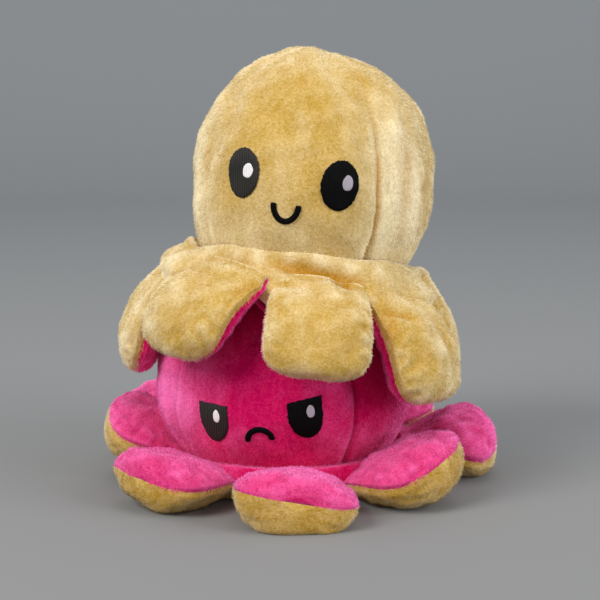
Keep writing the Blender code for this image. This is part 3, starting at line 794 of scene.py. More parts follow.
# Spots of painted light, and painted shade where the strength is negative: the lower head's lit left side and shaded
# right, the painted sheen at the upper head's edges, and its right panel, which is also paler from its brushed pile.
HEAD_LIGHT_AND_BRUSH_SPOTS = {
    "upper": [(398, 130, 18, 0.30), (402, 180, 20, 0.45), (402, 225, 20, 0.50), (372, 255, 12, 0.26),
              (199, 150, 15, 0.38), (198, 190, 15, 0.38), (210, 118, 12, 0.22), (206, 228, 14, 0.30),
              (260, 190, 12, 0.12), (240, 245, 14, 0.30), (300, 243, 13, 0.24), (275, 228, 14, 0.10),
              (350, 240, 10, 0.12)],
    "lower": [(165, 385, 14, 0.55), (185, 410, 12, 0.42), (175, 435, 9, 0.25), (205, 370, 10, 0.12),
              (330, 385, 10, 0.08), (370, 410, 10, -0.15), (385, 370, 12, -0.20), (390, 430, 9, -0.10)],
}


def head_grid(name, toy):
    """The head's cloth as a grid in the row frame, from the neck up to just short of the pole."""
    outline = head_outline(toy, HEAD_ROWS + 1)[:-1]
    radius, height = outline[:, :1], outline[:, 1:]
    share = np.linspace(0, 1, HEAD_ROWS)[:, None]
    pull = np.zeros((HEAD_ROWS, HEAD_COLUMNS))
    for arc, strength in zip(seam_arcs(toy), SEAM_PULL[name]):
        pull += strength * (1.15 - 0.90 * smoothstep(share * 1.5)) * MM * np.exp(-(arc / (1.4 * MM)) ** 2)
        pull += 1.5 * MM * np.exp(-(arc / (11 * MM)) ** 2) * np.sin(np.pi * share) ** 0.5
    pulled = np.maximum(radius - pull * smoothstep(radius / (6 * MM)), 0)
    grid = around(round_azimuths(HEAD_COLUMNS)[None, :], pulled, height)
    lumps = 0.9 * MM * waves(grid.reshape(-1, 3), 0.045, 11) + 0.28 * MM * waves(grid.reshape(-1, 3), 0.014, 12)
    lumps = lumps.reshape(HEAD_ROWS, HEAD_COLUMNS, 1) * smoothstep(share * 6)[:, :, None]
    for azimuth, radius_at, height_at, push, reach in HEAD_DENTS if name == "upper" else []:
        near = np.linalg.norm(grid - around(azimuth, radius_at * MM, height_at * MM), axis=2, keepdims=True)
        lumps = lumps + push * MM * np.exp(-(near / (reach * MM)) ** 2)
    grid = grid + grid_normals(grid, True) * (lumps - PILE_DEPTH * smoothstep(share * 8)[:, :, None])
    return placed(grid, toy["place"])


print("The upper head has", len(HEAD_DENTS), "dents and", len(HEAD_LIGHT_AND_BRUSH_SPOTS["upper"]), "brushed spots")

# %% Building the heads
LINING_GAP = 2.4 * MM  # between the pocket and the inner side of the head's wall
POLE_RISE = 0.15  # how far the point that closes the top goes on towards the true pole


def build_head(name, toy):
    grid, groove = strokes(head_grid(name, toy), True, HEAD_MARKS[name])
    # Folds, seams and hollows get painted shade through groove, and ridges and spots painted light through pale.
    ridges, hollows = relief(grid, True, 4)
    groove = np.maximum(np.maximum(groove, seam_depth(name, toy)), hollows)
    pale = light_and_brush_spots(grid, True, HEAD_LIGHT_AND_BRUSH_SPOTS[name]) + ridges
    wall = pocket_rings(round_azimuths(HEAD_COLUMNS), LINING_GAP, (0.0, 0.25, 0.5, 0.75, 0.93))
    inner = placed(np.array(wall), toy["place"])
    pole, low_pole = (placed(around(0, 0, top), toy["place"]) for top in (toy["height"], POCKET_TOP + LINING_GAP))
    centre = grid[-1].mean(0)
    pole = centre + (pole - centre) * POLE_RISE
    points, faces = capped(np.concatenate([inner[::-1], grid]), pole, low_pole)
    head = make_piece(f"{name}_head", points, faces, toy["outer"], groove, inner[..., 0].size, pale)
    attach(head, f"{name}_octopus")
    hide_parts(*[f"{name}_{g}" for g in PANELS], f"{name}_head_filling")
    print(head.name, len(head.data.polygons), "faces")
    return grid, grid_tree(grid, True), groove, pale


heads = {name: build_head(name, toy) for name, toy in TOYS.items()}

# %% [markdown]
# The pocket is the other side's head, turned in. From outside only its mouth shows, when the toy is lifted, so
# two plain domes with a small gap between them are enough, and no pile is spent where nobody looks.

# %% Pocket linings
LINING_THICKNESS = 1.4 * MM
LINING_TURNS = (0.12, 0.25, 0.37, 0.5, 0.62, 0.75, 0.87, 0.95)


def build_lining(name, toy):
    azimuth = round_azimuths(96)
    layers, poles = [], []
    for thick in (0.0, LINING_THICKNESS):
        rings = [around(azimuth, POCKET_RADIUS + 2 * MM + thick, -7 * MM), around(azimuth, POCKET_RADIUS + thick, 0)]
        layers.append(placed(np.array(rings + pocket_rings(azimuth, thick, LINING_TURNS)), toy["place"]))
        poles.append(placed(around(0, 0, POCKET_TOP + thick), toy["place"]))
    points, faces = capped(np.concatenate([layers[0][::-1], layers[1]]), poles[1], poles[0])
    piece = make_piece(f"{name}_pocket_cloth", points, faces, toy["inner"])
    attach(piece, f"{name}_octopus")
    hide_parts(f"{name}_pocket_lining")
    print(piece.name, len(faces), "faces")


for name, toy in TOYS.items():
    build_lining(name, toy)

# %% [markdown]
# The skirt is the roll of cloth between neck and arms. On the upper toy it is pushed up by the lower head and
# falls in a crest with a fold over the front arm, and on the lower toy it is flat. A section of eight control
# points at each azimuth gives both, with a smooth curve through them, since the section changes from arm to
# arm. Left of the upper front arm the cloth is cut up to the fold, so it ends higher there.

# %% The skirts' section
SKIRT_COLUMNS, SKIRT_ROWS, UNDER_ROWS = 256, 40, 32
SLIT_AT, SLIT_WIDTH, SLIT_RISE = -26, 9, 7 * MM


def slit_rise(azimuth):
    """How much higher the upper skirt ends in the slit left of its front arm."""
    off = (np.asarray(azimuth, float) - SLIT_AT + 180) % 360 - 180
    return SLIT_RISE * np.exp(-(off / SLIT_WIDTH) ** 2)


def skirt_outline(name, toy, azimuth):
    """Control points (radius, height) of the skirt's upper side at each azimuth, from under the head outwards."""
    arm = np.cos(np.radians(azimuth * ARM_COUNT))
    middle = toy["rise"] - toy["depth"] / 2
    if name == "upper":
        front = np.cos(np.radians(azimuth + TURN - 8))
        right = np.sin(np.radians(azimuth + TURN))
        slit = slit_rise(azimuth)
        crest = (2.0 + 6.0 * smoothstep((front + 0.1) / 1.1) + 0.5 * arm
                 - 2.5 * np.clip(right, 0, 1) ** 4 - 2.0 * np.clip(-right, 0, 1) ** 4) * MM
        lip = toy["crease"] + (0.5 - 1.0 * arm + 1.5 * right ** 2) * MM - 0.7 * slit
        end = (-9.0 - 1.0 * arm + 1.5 * right ** 2) * MM + slit
        radii = [48.5 * MM, 51.5 * MM, 54.5 * MM, lip - 4.5 * MM, lip, lip + 0.5 * MM, lip - 3 * MM, 48 * MM]
        heights = [-0.6 * MM, crest * 0.7, crest, crest * 0.2 - 3.5 * MM + 0.4 * slit, end, end - 4 * MM,
                   middle + 1.2 * slit, -7 * MM]
    else:
        lip = toy["crease"] + 1.0 * arm * MM
        end = toy["rise"] - (3.0 - 3.0 * arm) * MM
        radii = [48.5 * MM, 51.0 * MM, 53.5 * MM, 56.5 * MM, lip + 1 * MM, lip + 0.5 * MM, lip - 3 * MM, 48 * MM]
        heights = [-0.6 * MM, 1.6 * MM, 2.4 * MM, 2.2 * MM, end, end - 4 * MM, middle, -7 * MM]
    return [np.stack([np.broadcast_to(v, azimuth.shape) for v in values]) for values in (radii, heights)]


def under_outline(name, toy, azimuth):
    """The same for the reverse cloth under the skirt."""
    low, lip = toy["rise"] - toy["depth"], toy["crease"] - 3 * MM
    mid = toy["rise"] - toy["depth"] / 2 - 1 * MM
    radii = [46 * MM, 47 * MM, 50 * MM, (50 * MM + lip) / 2, lip, lip + 1 * MM, lip - 1 * MM, 47 * MM]
    if name == "upper":
        heights = [-8 * MM, -NECK_TO_BASE + 1 * MM, -NECK_TO_BASE - 1 * MM, -19 * MM, low + 2 * MM, mid - 1 * MM, mid,
                   -8 * MM]
    else:
        end = -NECK_TO_BASE + 0.2 * MM
        heights = [-8 * MM, -NECK_TO_BASE + 1 * MM, end, end, end + 1 * MM, mid - 2 * MM, mid, -8 * MM]
    radii, heights = (np.stack([np.full(azimuth.shape, v) for v in values]) for values in (radii, heights))
    if name == "upper":
        heights[2:7] += slit_rise(azimuth)
        radii[3:7] -= 0.5 * slit_rise(azimuth)
    return radii, heights


def smooth_rows(radii, heights, count):
    """More rows along each column, on a smooth curve through the control points."""
    knots = np.linspace(0, 1, len(radii))
    at = np.linspace(0, 1, count)
    n = np.clip(np.searchsorted(knots, at, "right") - 1, 0, len(knots) - 2)
    h = knots[1] - knots[0]
    t = ((at - knots[n]) / h)[:, None]
    out = []
    for values in (radii, heights):
        slope = np.gradient(values, knots, axis=0)
        out.append((1 + 2 * t) * (1 - t) ** 2 * values[n] + t * (1 - t) ** 2 * h * slope[n]
                   + t * t * (3 - 2 * t) * values[n + 1] + t * t * (t - 1) * h * slope[n + 1])
    return out


print("The slit raises the skirt by", round(float(slit_rise(SLIT_AT)) / MM, 1), "mm at", SLIT_AT, "degrees")

# %% The skirts' folds and building them
OVER_ARM = [(268, 263), (300, 271), (330, 279), (355, 286), (372, 294)]  # fold above the upper front arm
ARM_EDGE = [(250, 260), (266, 268), (284, 279), (310, 286), (345, 291), (374, 299)]  # ridge under that fold
LEFT_EDGE = [(195, 264), (225, 270), (262, 285)]
SKIRT_MARKS = {
    "upper": [(OVER_ARM, -4.0, 4.5), (ARM_EDGE, 2.4, 3.0), ([(205, 258), (235, 265), (258, 274)], -2.2, 3.0),
              (LEFT_EDGE, 2.0, 3.0)],
    "lower": [],
}
# Painted highlights along the upper skirt's lit crest and on its lit sides.
SKIRT_HIGHLIGHT_SPOTS = [(210, 250, 4.0, 0.30), (235, 256, 3.5, 0.35), (260, 257, 3.5, 0.35), (290, 260, 3.5, 0.40),
               (320, 264, 3.5, 0.40), (350, 267, 3.5, 0.40), (380, 270, 3.5, 0.35), (205, 260, 3.5, 0.25),
               (225, 266, 3.5, 0.30), (245, 276, 3.5, 0.30), (170, 262, 6.0, 0.30), (420, 285, 6.0, 0.25)]
SKIRT_PAINTED_LIGHT = 0.12  # painted light: the upper skirt shows paler all over


def closed_ring(name, grid, colour, groove=None, pale=None):
    rows, columns = grid.shape[:2]
    faces = grid_faces(rows, columns, True)
    for j in range(columns):
        k = (j + 1) % columns
        faces.append(((rows - 1) * columns + j, (rows - 1) * columns + k, k, j))
    return make_piece(name, grid.reshape(-1, 3), faces, colour, groove, 0, pale)


def build_skirt(name, toy):
    azimuth = round_azimuths(SKIRT_COLUMNS)
    grid = around(azimuth[None, :], *smooth_rows(*skirt_outline(name, toy, azimuth), SKIRT_ROWS))
    flat = grid.reshape(-1, 3)
    lumps = (0.6 * MM * waves(flat, 0.026, 31) + 0.15 * MM * waves(flat, 0.009, 32)).reshape(grid.shape[:2])
    down = np.linspace(0, 1, SKIRT_ROWS)[:, None]
    fade = smoothstep((down - 0.2) * 4) * smoothstep((1 - down) * 4)
    grid = grid - grid_normals(grid, True) * (lumps * fade)[:, :, None]
    grid = placed(grid, toy["place"])[::-1]
    grid, groove = strokes(grid, True, SKIRT_MARKS[name])
    pale, hollows = relief(grid, True, 8)
    groove = np.maximum(groove, hollows)
    if name == "upper":
        pale = pale + light_and_brush_spots(grid, True, SKIRT_HIGHLIGHT_SPOTS) + SKIRT_PAINTED_LIGHT
    piece = closed_ring(f"{name}_skirt_cloth", grid, toy["outer"], groove, pale)
    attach(piece, f"{name}_octopus")
    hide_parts(f"{name}_skirt")
    radii, heights = smooth_rows(*under_outline(name, toy, azimuth), UNDER_ROWS)
    if name == "lower":
        heights = np.maximum(heights, -NECK_TO_BASE + 0.1 * MM)
    under = placed(around(azimuth[None, :], radii, heights), toy["place"])
    piece = closed_ring(f"{name}_skirt_lining", under, toy["inner"])
    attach(piece, f"{name}_octopus")
    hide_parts(f"{name}_skirt_underside")
    print(f"{name} skirt reaches", round(float(np.abs(grid[..., 0]).max()) / MM, 1), "mm from the middle")
    return grid, groove, pale


skirts = {name: build_skirt(name, toy) for name, toy in TOYS.items()}

# %% [markdown]
# An arm is a fat leaf of two halves, sewn along its edge: outer cloth above, reverse cloth below. It is crowned
# along and across, so each half is a grid whose rows swell to the widest place and close at the tip. In the
# photograph no two arms lie alike, because they are soft. Each has its own slope, bend, roll and size here,
# read from its outline, where one arm for all would look like a moulding.

# %% The arms' sizes and turns
# lengths in mm and angles in degrees; a slope goes down, and a belly is the lower half's crown
STRAIGHT = dict.fromkeys(("seam", "slope", "roll", "twist", "yaw", "aside", "lift", "out", "skew"), 0)
ARMS = {
    "lower": {**STRAIGHT, "length": 40, "root_width": 45, "width": 54, "widest": 0.55, "tip": 2.4, "belly_tip": 3.6,
              "section": 1.8, "crown": 11.5, "belly": 16, "root_crown": 5, "root_belly": 13, "bend": 4},
    "upper": {**STRAIGHT, "length": 47, "root_width": 46, "width": 52, "widest": 0.58, "tip": 2.8, "belly_tip": 2.8,
              "section": 2.1, "seam": -7, "crown": 12.5, "belly": 10, "root_crown": 7, "root_belly": 6, "slope": 46,
              "bend": 36, "lift": 6},
}
ARM_SHAPES = {
    "lower": {
        0: {"length": 49, "aside": 0.5, "roll": -2, "twist": -8, "belly": 20, "width": 57, "slope": -7, "lift": -6,
            "root_width": 42, "widest": 0.68, "tip": 3.2, "section": 1.35},
        1: {"slope": -17, "roll": 10, "twist": 10, "yaw": -4, "length": 43, "belly": 18, "aside": -1, "lift": -4,
            "root_width": 42, "section": 1.5},
        2: {"slope": -4, "twist": 20, "crown": 13, "out": 5},
        3: {"slope": -12},
        5: {"slope": -20},
        6: {"slope": -28, "roll": -8, "twist": -6, "out": -11, "length": 41, "belly": 18, "belly_tip": 2.8,
            "crown": 9.5, "lift": -1},
        7: {"slope": -9, "roll": -3, "twist": -4, "yaw": 2, "out": -3, "belly": 14.5, "length": 42, "lift": -5,
            "root_width": 42, "widest": 0.62, "tip": 2.8, "section": 1.5},
    },
    "upper": {
        0: {"slope": 38, "bend": 42, "width": 50, "tip": 3.6, "length": 45, "lift": 8, "aside": 6},
        1: {"slope": 46, "bend": 32, "length": 52.5, "yaw": 6, "skew": 3, "tip": 3.6},
        2: {"slope": 62, "bend": 30, "out": 1, "length": 50, "crown": 12},
        3: {"slope": 56, "bend": 30, "out": -2},
        5: {"slope": 56, "bend": 30, "out": -2},
        6: {"slope": 57, "bend": 28, "length": 61, "out": -4, "crown": 12, "lift": 8},
        7: {"slope": 42, "bend": 40, "length": 46, "aside": 4, "out": -1, "lift": 9, "root_width": 58, "width": 52,
            "widest": 0.45, "yaw": -5, "skew": -3, "tip": 3.4},
    },
}
ARM_MARKS = {
    "lower": {2: [([(436, 408), (458, 430), (478, 458)], 1.6, 3.5), ([(428, 424), (446, 442), (462, 466)], -1.6, 4.0)]},
    "upper": {
        0: [(OVER_ARM, -3.0, 4.5), (ARM_EDGE, 1.8, 3.0)],
        1: [([(379, 311), (395, 312), (415, 319)], -2.4, 1.8), ([(377, 300), (390, 322), (398, 352)], -1.6, 5.0)],
        7: [([(230, 293), (246, 289), (262, 281)], -1.8, 3.0), (LEFT_EDGE, 1.4, 3.0)],
    },
}
# Painted highlights on the upper arms' lit tops and edges.
ARM_HIGHLIGHT_SPOTS = {
    0: [(272, 292, 4.0, 0.30), (300, 289, 4.0, 0.35), (335, 295, 4.0, 0.35), (364, 300, 4.0, 0.35),
        (268, 330, 4.5, 0.25), (300, 372, 5.0, 0.20), (368, 340, 4.0, 0.25)],
    1: [(440, 345, 6.0, 0.30), (452, 375, 6.0, 0.30), (425, 392, 6.0, 0.25), (400, 300, 6.0, 0.20)],
    6: [(138, 305, 7.0, 0.40), (125, 340, 7.0, 0.40)],
    7: [(176, 292, 5.0, 0.30), (150, 325, 5.0, 0.30), (165, 350, 5.0, 0.25), (230, 285, 5.0, 0.20)],
}
print("Arms with a shape of their own:", {name: len(shapes) for name, shapes in ARM_SHAPES.items()})

# %% The arms' grids
ARM_ROWS, ARM_COLUMNS = 46, 41
ROOT_SHARE = 0.16  # this share of an arm's length runs on under the skirt
CLOTH_CLEAR = 0.35 * MM  # cloth stays this far above the table, so its pile has room
UP = np.array([0, 0, 1.0])


def arm_path(toy, number, shape, shares):
    """Middle line, side way and upward way at each share of an arm's length, in the toy's own frame."""
    azimuth = 360 / ARM_COUNT * number
    turn = math.radians(azimuth + TURN + shape["yaw"])
    out = np.array([math.sin(turn), -math.cos(turn), 0.0])
    side = np.array([math.cos(turn), math.sin(turn), 0.0])
    start = around(azimuth, toy["crease"] + shape["out"] * MM, toy["rise"] + shape["lift"] * MM)
    start = start + side * shape["aside"] * MM
    fine = np.linspace(min(shares), 1, 200)
    slope = np.radians(shape["slope"] + shape["bend"] * smoothstep(fine))
    step = (fine[1] - fine[0]) * shape["length"] * MM

    def summed(values):
        """How far the path has come, by the mean of each step, counted from share 0."""
        total = np.concatenate([[0], np.cumsum(0.5 * (values[1:] + values[:-1]))]) * step
        return (np.interp(shares, fine, total) - np.interp(0, fine, total))[:, None]

    middle = start + summed(np.cos(slope)) * out - summed(np.sin(slope)) * UP
    middle = middle + side * (shape["skew"] * MM * shares ** 2)[:, None]
    slope = np.interp(shares, fine, slope)[:, None]
    normal = np.sin(slope) * out + np.cos(slope) * UP
    twist = np.radians(shape["roll"] + shape["twist"] * smoothstep(shares))[:, None]
    return middle, side * np.cos(twist) + normal * np.sin(twist), normal * np.cos(twist) - side * np.sin(twist)


def swell(share, widest, power):
    """How far an arm has swollen on its way to the widest place, and how far it has closed after it."""
    rising = np.sin(0.5 * np.pi * np.clip(share / widest, 0, 1))
    past = np.clip((share - widest) / (1 - widest), 0, 1)
    return rising, (1 - past ** power) ** (1 / power)


def arm_grids(name, toy, number):
    """The upper and lower side of an arm as two grids of points that share the seam, root row first."""
    shape = {**ARMS[name], **ARM_SHAPES[name].get(number, {})}
    even = np.linspace(0, 1, ARM_ROWS)
    shares = -ROOT_SHARE + 1.158 * (0.55 * even + 0.45 * np.sin(0.5 * np.pi * even))
    middle, sideways, upward = arm_path(toy, number, shape, shares)
    rising, closing = swell(np.maximum(shares, 0), shape["widest"], shape["tip"])
    fuller = swell(np.maximum(shares, 0), shape["widest"], shape["belly_tip"])[1]
    root_shrink = 1 - 0.10 * smoothstep(-shares / ROOT_SHARE)
    half = 0.5 * (shape["root_width"] + (shape["width"] - shape["root_width"]) * rising) * closing * MM * root_shrink
    from_left = -np.cos(np.linspace(0, np.pi, ARM_COLUMNS))
    rise = ((1 - np.abs(from_left) ** 2.2).clip(0) ** (1 / shape["section"]))[None, :]
    pinch = 1 - 0.05 * np.exp(-((np.abs(from_left) - 1) / 0.02) ** 2)
    fade = (smoothstep((shares + ROOT_SHARE) / 0.1) * smoothstep((1.02 - shares) / 0.1))[:, None]
    result = []
    for side, key, closed in ((1, "crown", closing), (-1, "belly", fuller)):
        root, full = shape["root_" + key], shape[key]
        height = ((root + (full - root) * rising) * closed * MM * root_shrink)[:, None]
        grid = (middle + upward * shape["seam"] * MM)[:, None, :] \
            + sideways[:, None, :] * (half[:, None] * (-side * from_left * pinch)[None, :])[:, :, None] \
            + upward[:, None, :] * (side * height * rise)[:, :, None]
        flat, count = grid.reshape(-1, 3), grid.shape[:2]
        at_seam = np.exp(-(rise * np.maximum(height, 1 * MM) / (4 * MM)) ** 2)
        lumps = (0.5 * waves(flat, 0.022, 51 + number) + 0.22 * waves(flat, 0.009, 71 + number)).reshape(count)
        pucker = 0.35 * waves(flat, 0.006, 91 + number).reshape(count)
        move = lumps * (1 - at_seam) * rise ** 0.5 + pucker * np.exp(-((rise - 0.55) / 0.25) ** 2)
        grid = grid + grid_normals(grid, False) * ((move * MM - 0.6 * PILE_DEPTH) * fade)[:, :, None]
        grid = placed(grid, toy["place"])
        if name == "lower":
            grid[:, :, 2] = np.maximum(grid[:, :, 2], CLOTH_CLEAR)
        result.append(grid)
    return result


reach = {name: round(float(-arm_grids(name, toy, 0)[0][..., 1].min()) / MM) for name, toy in TOYS.items()}
print("The front arms reach to the front, in mm:", reach)

# %% [markdown]
# Each arm leaves the skirt at the crease. Cloth doesn't break at a line, so the pieces blend from the skirt's body to
# the arm's over twelve millimetres. The reverse cloth of the lower arms lies in their own shadow and gets painted
# shade, and their covers, lit from above, get a painted highlight, as in the photograph.

# %% Building the arms
# Painted highlight on the lower arms' covers, lit from above, and painted shade on their reverse cloth, which lies in
# their own shadow.
COVER_PAINTED_HIGHLIGHT, SHADE_DEEPER = 0.16, 0.30


def half_arm(grid):
    """Points and faces of a closed half: its grid, a flat side at the seam, and caps at root and tip."""
    rows, columns = grid.shape[:2]
    points = np.concatenate([grid.reshape(-1, 3), [grid[-1].mean(0)]])
    faces, last, tip = grid_faces(rows, columns), (rows - 1) * columns, rows * columns
    for a in range(0, last, columns):
        faces.append((a, a + columns, a + 2 * columns - 1, a + columns - 1))
    faces += [(last + j, last + j + 1, tip) for j in range(columns - 1)]
    faces += [(last + columns - 1, last, tip), tuple(range(columns - 1, -1, -1))]
    return points, faces


def build_arm(name, toy, number):
    top, bottom = arm_grids(name, toy, number)
    body = f"{name}_{ARM_NAMES[number]}_arm"
    top, groove = strokes(top, False, ARM_MARKS[name].get(number, []))
    azimuth = 360 / ARM_COUNT * number
    middle = placed(around(azimuth, toy["crease"], toy["rise"]), toy["place"])
    droop, turn = math.radians(toy["droops"][number]), math.radians(azimuth + TURN)
    way = Vector((math.sin(turn) * math.cos(droop), -math.cos(turn) * math.cos(droop), -math.sin(droop)))
    way = np.array(toy["place"].to_3x3() @ way)
    across = np.abs(np.linspace(-1, 1, ARM_COLUMNS))[None, :]
    along = np.linspace(0, 1, ARM_ROWS)[:, None]
    full = 1 + 0.45 * np.maximum(smoothstep((across - 0.86) / 0.14), smoothstep((along - 0.88) / 0.12))
    for grid, colour, part, seed in ((top, toy["outer"], "cover", 200), (bottom, toy["inner"], "underside", 250)):
        cover = part == "cover"
        # Ridges get a painted highlight and hollows painted shade.
        pale, hollows = relief(grid, False, 10)
        deep = np.maximum(groove, hollows) if cover else hollows
        if name == "lower":
            pale, deep = (pale + COVER_PAINTED_HIGHLIGHT, deep) if cover else (pale * 0, np.maximum(deep, SHADE_DEEPER))
        elif cover:
            pale = pale + light_and_brush_spots(grid, False, ARM_HIGHLIGHT_SPOTS.get(number, []))
        piece = make_piece(f"{body}_{part}_cloth", *half_arm(grid), colour, deep, 0, pale)
        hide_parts(f"{body}_{part}")
        blades = grow_pile(f"{body}_{part}_pile", grid, False, colour, seed + number, deep, pale, full)
        for item in (piece, blades):
            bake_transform(item)


for name, toy in TOYS.items():
    for number in range(ARM_COUNT):
        build_arm(name, toy, number)

# %% [markdown]
# The faces are sewn on in satin stitch: pads of thread, raised in the middle and frayed a little at the edge.
# A decal would be flat and have no edge of its own. The pads are rings of points that rays set on the finished
# head, so that they follow its lumps. The upper toy smiles with round eyes, and the lower one is cross: its
# eyes are cut off under a slanting brow.

# %% Places on the faces
# mm on the cloth: an eye's width and height, how far the eyes stand apart and up, and the same for their
# highlights and the mouth; roll turns the whole face in degrees, and middle is its azimuth
FACES = {
    "lower": {"eye": (16.0, 22.0), "spread": 22.0, "rise": 27.2, "brow": 7.0, "slope": 0.14,
              "glint": (3.6, 5.6), "glint_at": (2.4, 1.4), "mouth": (11.0, -5.4), "mouth_rise": 16.7, "roll": -5.0,
              "middle": -14.2},
    "upper": {"eye": (17.0, 22.4), "spread": 22.6, "rise": 40.8, "glint": (4.9, 6.6), "glint_at": (3.2, 1.4),
              "mouth": (11.3, 7.7), "mouth_rise": 30.0, "roll": 0.4, "middle": -13.0},
}
PAD_RINGS = [0.3, 0.65, 0.96, 1.0, 0.94, 0.82, 0.62, 0.4, 0.2]
PAD_SUNK = 0.4  # mm that a pad reaches in to the cloth
RAY_REACH = 12 * MM


def on_face(name, toy, aside, up):
    """The head's cloth and its normal at a place on the face, aside and up from the foot of its middle, in mm."""
    face = FACES[name]
    roll, over = math.radians(face["roll"]), up - face["rise"]
    x = aside * math.cos(roll) + over * math.sin(roll)
    z = face["rise"] + over * math.cos(roll) - aside * math.sin(roll)
    outline = head_outline(toy, 200)
    radius = np.interp(z * MM, outline[:, 1], outline[:, 0])
    azimuth = face["middle"] + math.degrees(x * MM / radius)
    start, inside = (Vector(placed(around(azimuth, radius + reach, z * MM), toy["place"]))
                     for reach in (RAY_REACH, -RAY_REACH))
    hit, normal, _, _ = heads[name][1].ray_cast(start, (inside - start).normalized())
    if normal.dot(start - inside) < 0:
        normal = -normal
    return np.array(hit), np.array(normal)


def stitched_patch(name, toy, part, outline, centre, low, thick, colour, target):
    """A raised pad of thread: rings from its edge to its middle, full in the middle and thin at the edge."""
    rises = [-PAD_SUNK] * 3 + [low + k * thick for k in (0.35, 0.8, 1.0, 1.05, 1.08, 1.1)]
    rings = []
    for ring, rise in zip(PAD_RINGS, rises):
        spots = [on_face(name, toy, *(c + (p - c) * ring for p, c in zip(place, centre))) for place in outline]
        rings.append([at + normal * rise * MM for at, normal in spots])
    at, normal = on_face(name, toy, *centre)
    points, faces = capped(np.array(rings), at + normal * rises[-1] * MM, at - normal * PAD_SUNK * MM)
    piece = make_piece(f"{name}_{part}", points, faces, colour)
    bpy.context.view_layer.update()
    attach(piece, f"{name}_octopus")
    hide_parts(target)
    return piece


print("The eyes' pads stand", 0.2 + 1.1, "mm off the cloth")

# %% Eyes, highlights and mouths
EYE_POINTS, GLINT_POINTS = 112, 28
MOUTH_ROWS, MOUTH_COLUMNS = 44, 12
MOUTH_STROKE = 2.7


def eye_outline(face, side, centre):
    """A round eye, or one that its brow cuts off if the face has one, with frayed ends of thread."""
    ends = np.random.default_rng(7 + side).uniform(-1, 1, EYE_POINTS)
    width, height = (0.5 * size for size in face["eye"])
    outline = []
    for k in range(EYE_POINTS):
        angle = 2 * math.pi * k / EYE_POINTS
        u, v = width * math.sin(angle), height * math.cos(angle)
        if "brow" in face and v > 0:
            square = max(abs(math.sin(angle)), abs(math.cos(angle)))
            u = u / square
            v = math.cos(angle) / square * (face["brow"] + face["slope"] * u * side)
        fray = 1 + 0.24 * ends[k] / max(math.hypot(u, v), 1)
        outline.append((centre[0] + u * fray, centre[1] + v * fray))
    return outline


def glint_outline(face, side, spot):
    """An oval that is a little uneven, as a few stitches leave it."""
    outline = []
    for turn in (2 * math.pi * k / GLINT_POINTS for k in range(GLINT_POINTS)):
        uneven = 1 + 0.02 * math.cos(5 * turn + side) + 0.03 * math.cos(3 * turn)
        outline.append((spot[0] + 0.5 * face["glint"][0] * uneven * math.sin(turn),
                        spot[1] + 0.5 * face["glint"][1] * uneven * math.cos(turn)))
    return outline


def build_eyes(name, toy):
    face = FACES[name]
    for side, word, black, white in ((-1, "left", "lit_black", "white"), (1, "right", "black", "shaded_white")):
        centre = (side * face["spread"], face["rise"])
        spot = (centre[0] + face["glint_at"][0], centre[1] + face["glint_at"][1])
        eye = stitched_patch(name, toy, f"{word}_eye_stitches", eye_outline(face, side, centre), centre, 0.2, 1.0,
                             black, f"{name}_{word}_eye")
        stitched[name].objects.link(eye)
        stitched_patch(name, toy, f"{word}_glint_stitches", glint_outline(face, side, spot), spot, 1.2, 0.35,
                       white, f"{name}_{word}_eye_glint")


def build_mouth(name, toy):
    """A roll of thread along half an oval, thin at its ends. A mouth of negative depth is turned down."""
    width, depth = FACES[name]["mouth"]
    rings = []
    for k in range(MOUTH_ROWS):
        angle = math.pi * (k / (MOUTH_ROWS - 1) - 0.5)
        rim = Vector((0.5 * width * math.sin(angle), -depth * math.cos(angle)))
        along = Vector((0.5 * width * math.cos(angle), depth * math.sin(angle)))
        across = Vector((-along.y, along.x)).normalized()
        thin = min(1.0, 0.7 + min(k, MOUTH_ROWS - 1 - k) / (MOUTH_ROWS - 1) * 12)
        for turn in (2 * math.pi * j / MOUTH_COLUMNS for j in range(MOUTH_COLUMNS)):
            shift = across * (0.5 * MOUTH_STROKE * thin * math.cos(turn))
            at, normal = on_face(name, toy, rim.x + shift.x, FACES[name]["mouth_rise"] + rim.y + shift.y)
            rings.append(at + normal * (0.3 + 0.95 * thin * math.sin(turn)) * MM)
    faces = grid_faces(MOUTH_ROWS, MOUTH_COLUMNS, True)
    faces.append(tuple(range(MOUTH_COLUMNS - 1, -1, -1)))
    faces.append(tuple((MOUTH_ROWS - 1) * MOUTH_COLUMNS + j for j in range(MOUTH_COLUMNS)))
    piece = make_piece(f"{name}_mouth_stitches", rings, faces, "black")
    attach(piece, f"{name}_octopus")
    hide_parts(f"{name}_mouth")
    stitched[name].objects.link(piece)


for name, toy in TOYS.items():
    build_eyes(name, toy)
    build_mouth(name, toy)

# %% [markdown]
# The heads and skirts get their pile last, because it has to keep clear of the stitches. A head's pile is in
# four pieces, from seam to seam, which keeps each piece small enough to handle and lets the nap part at the
# seams. Each of them has the name of the panel to its left.

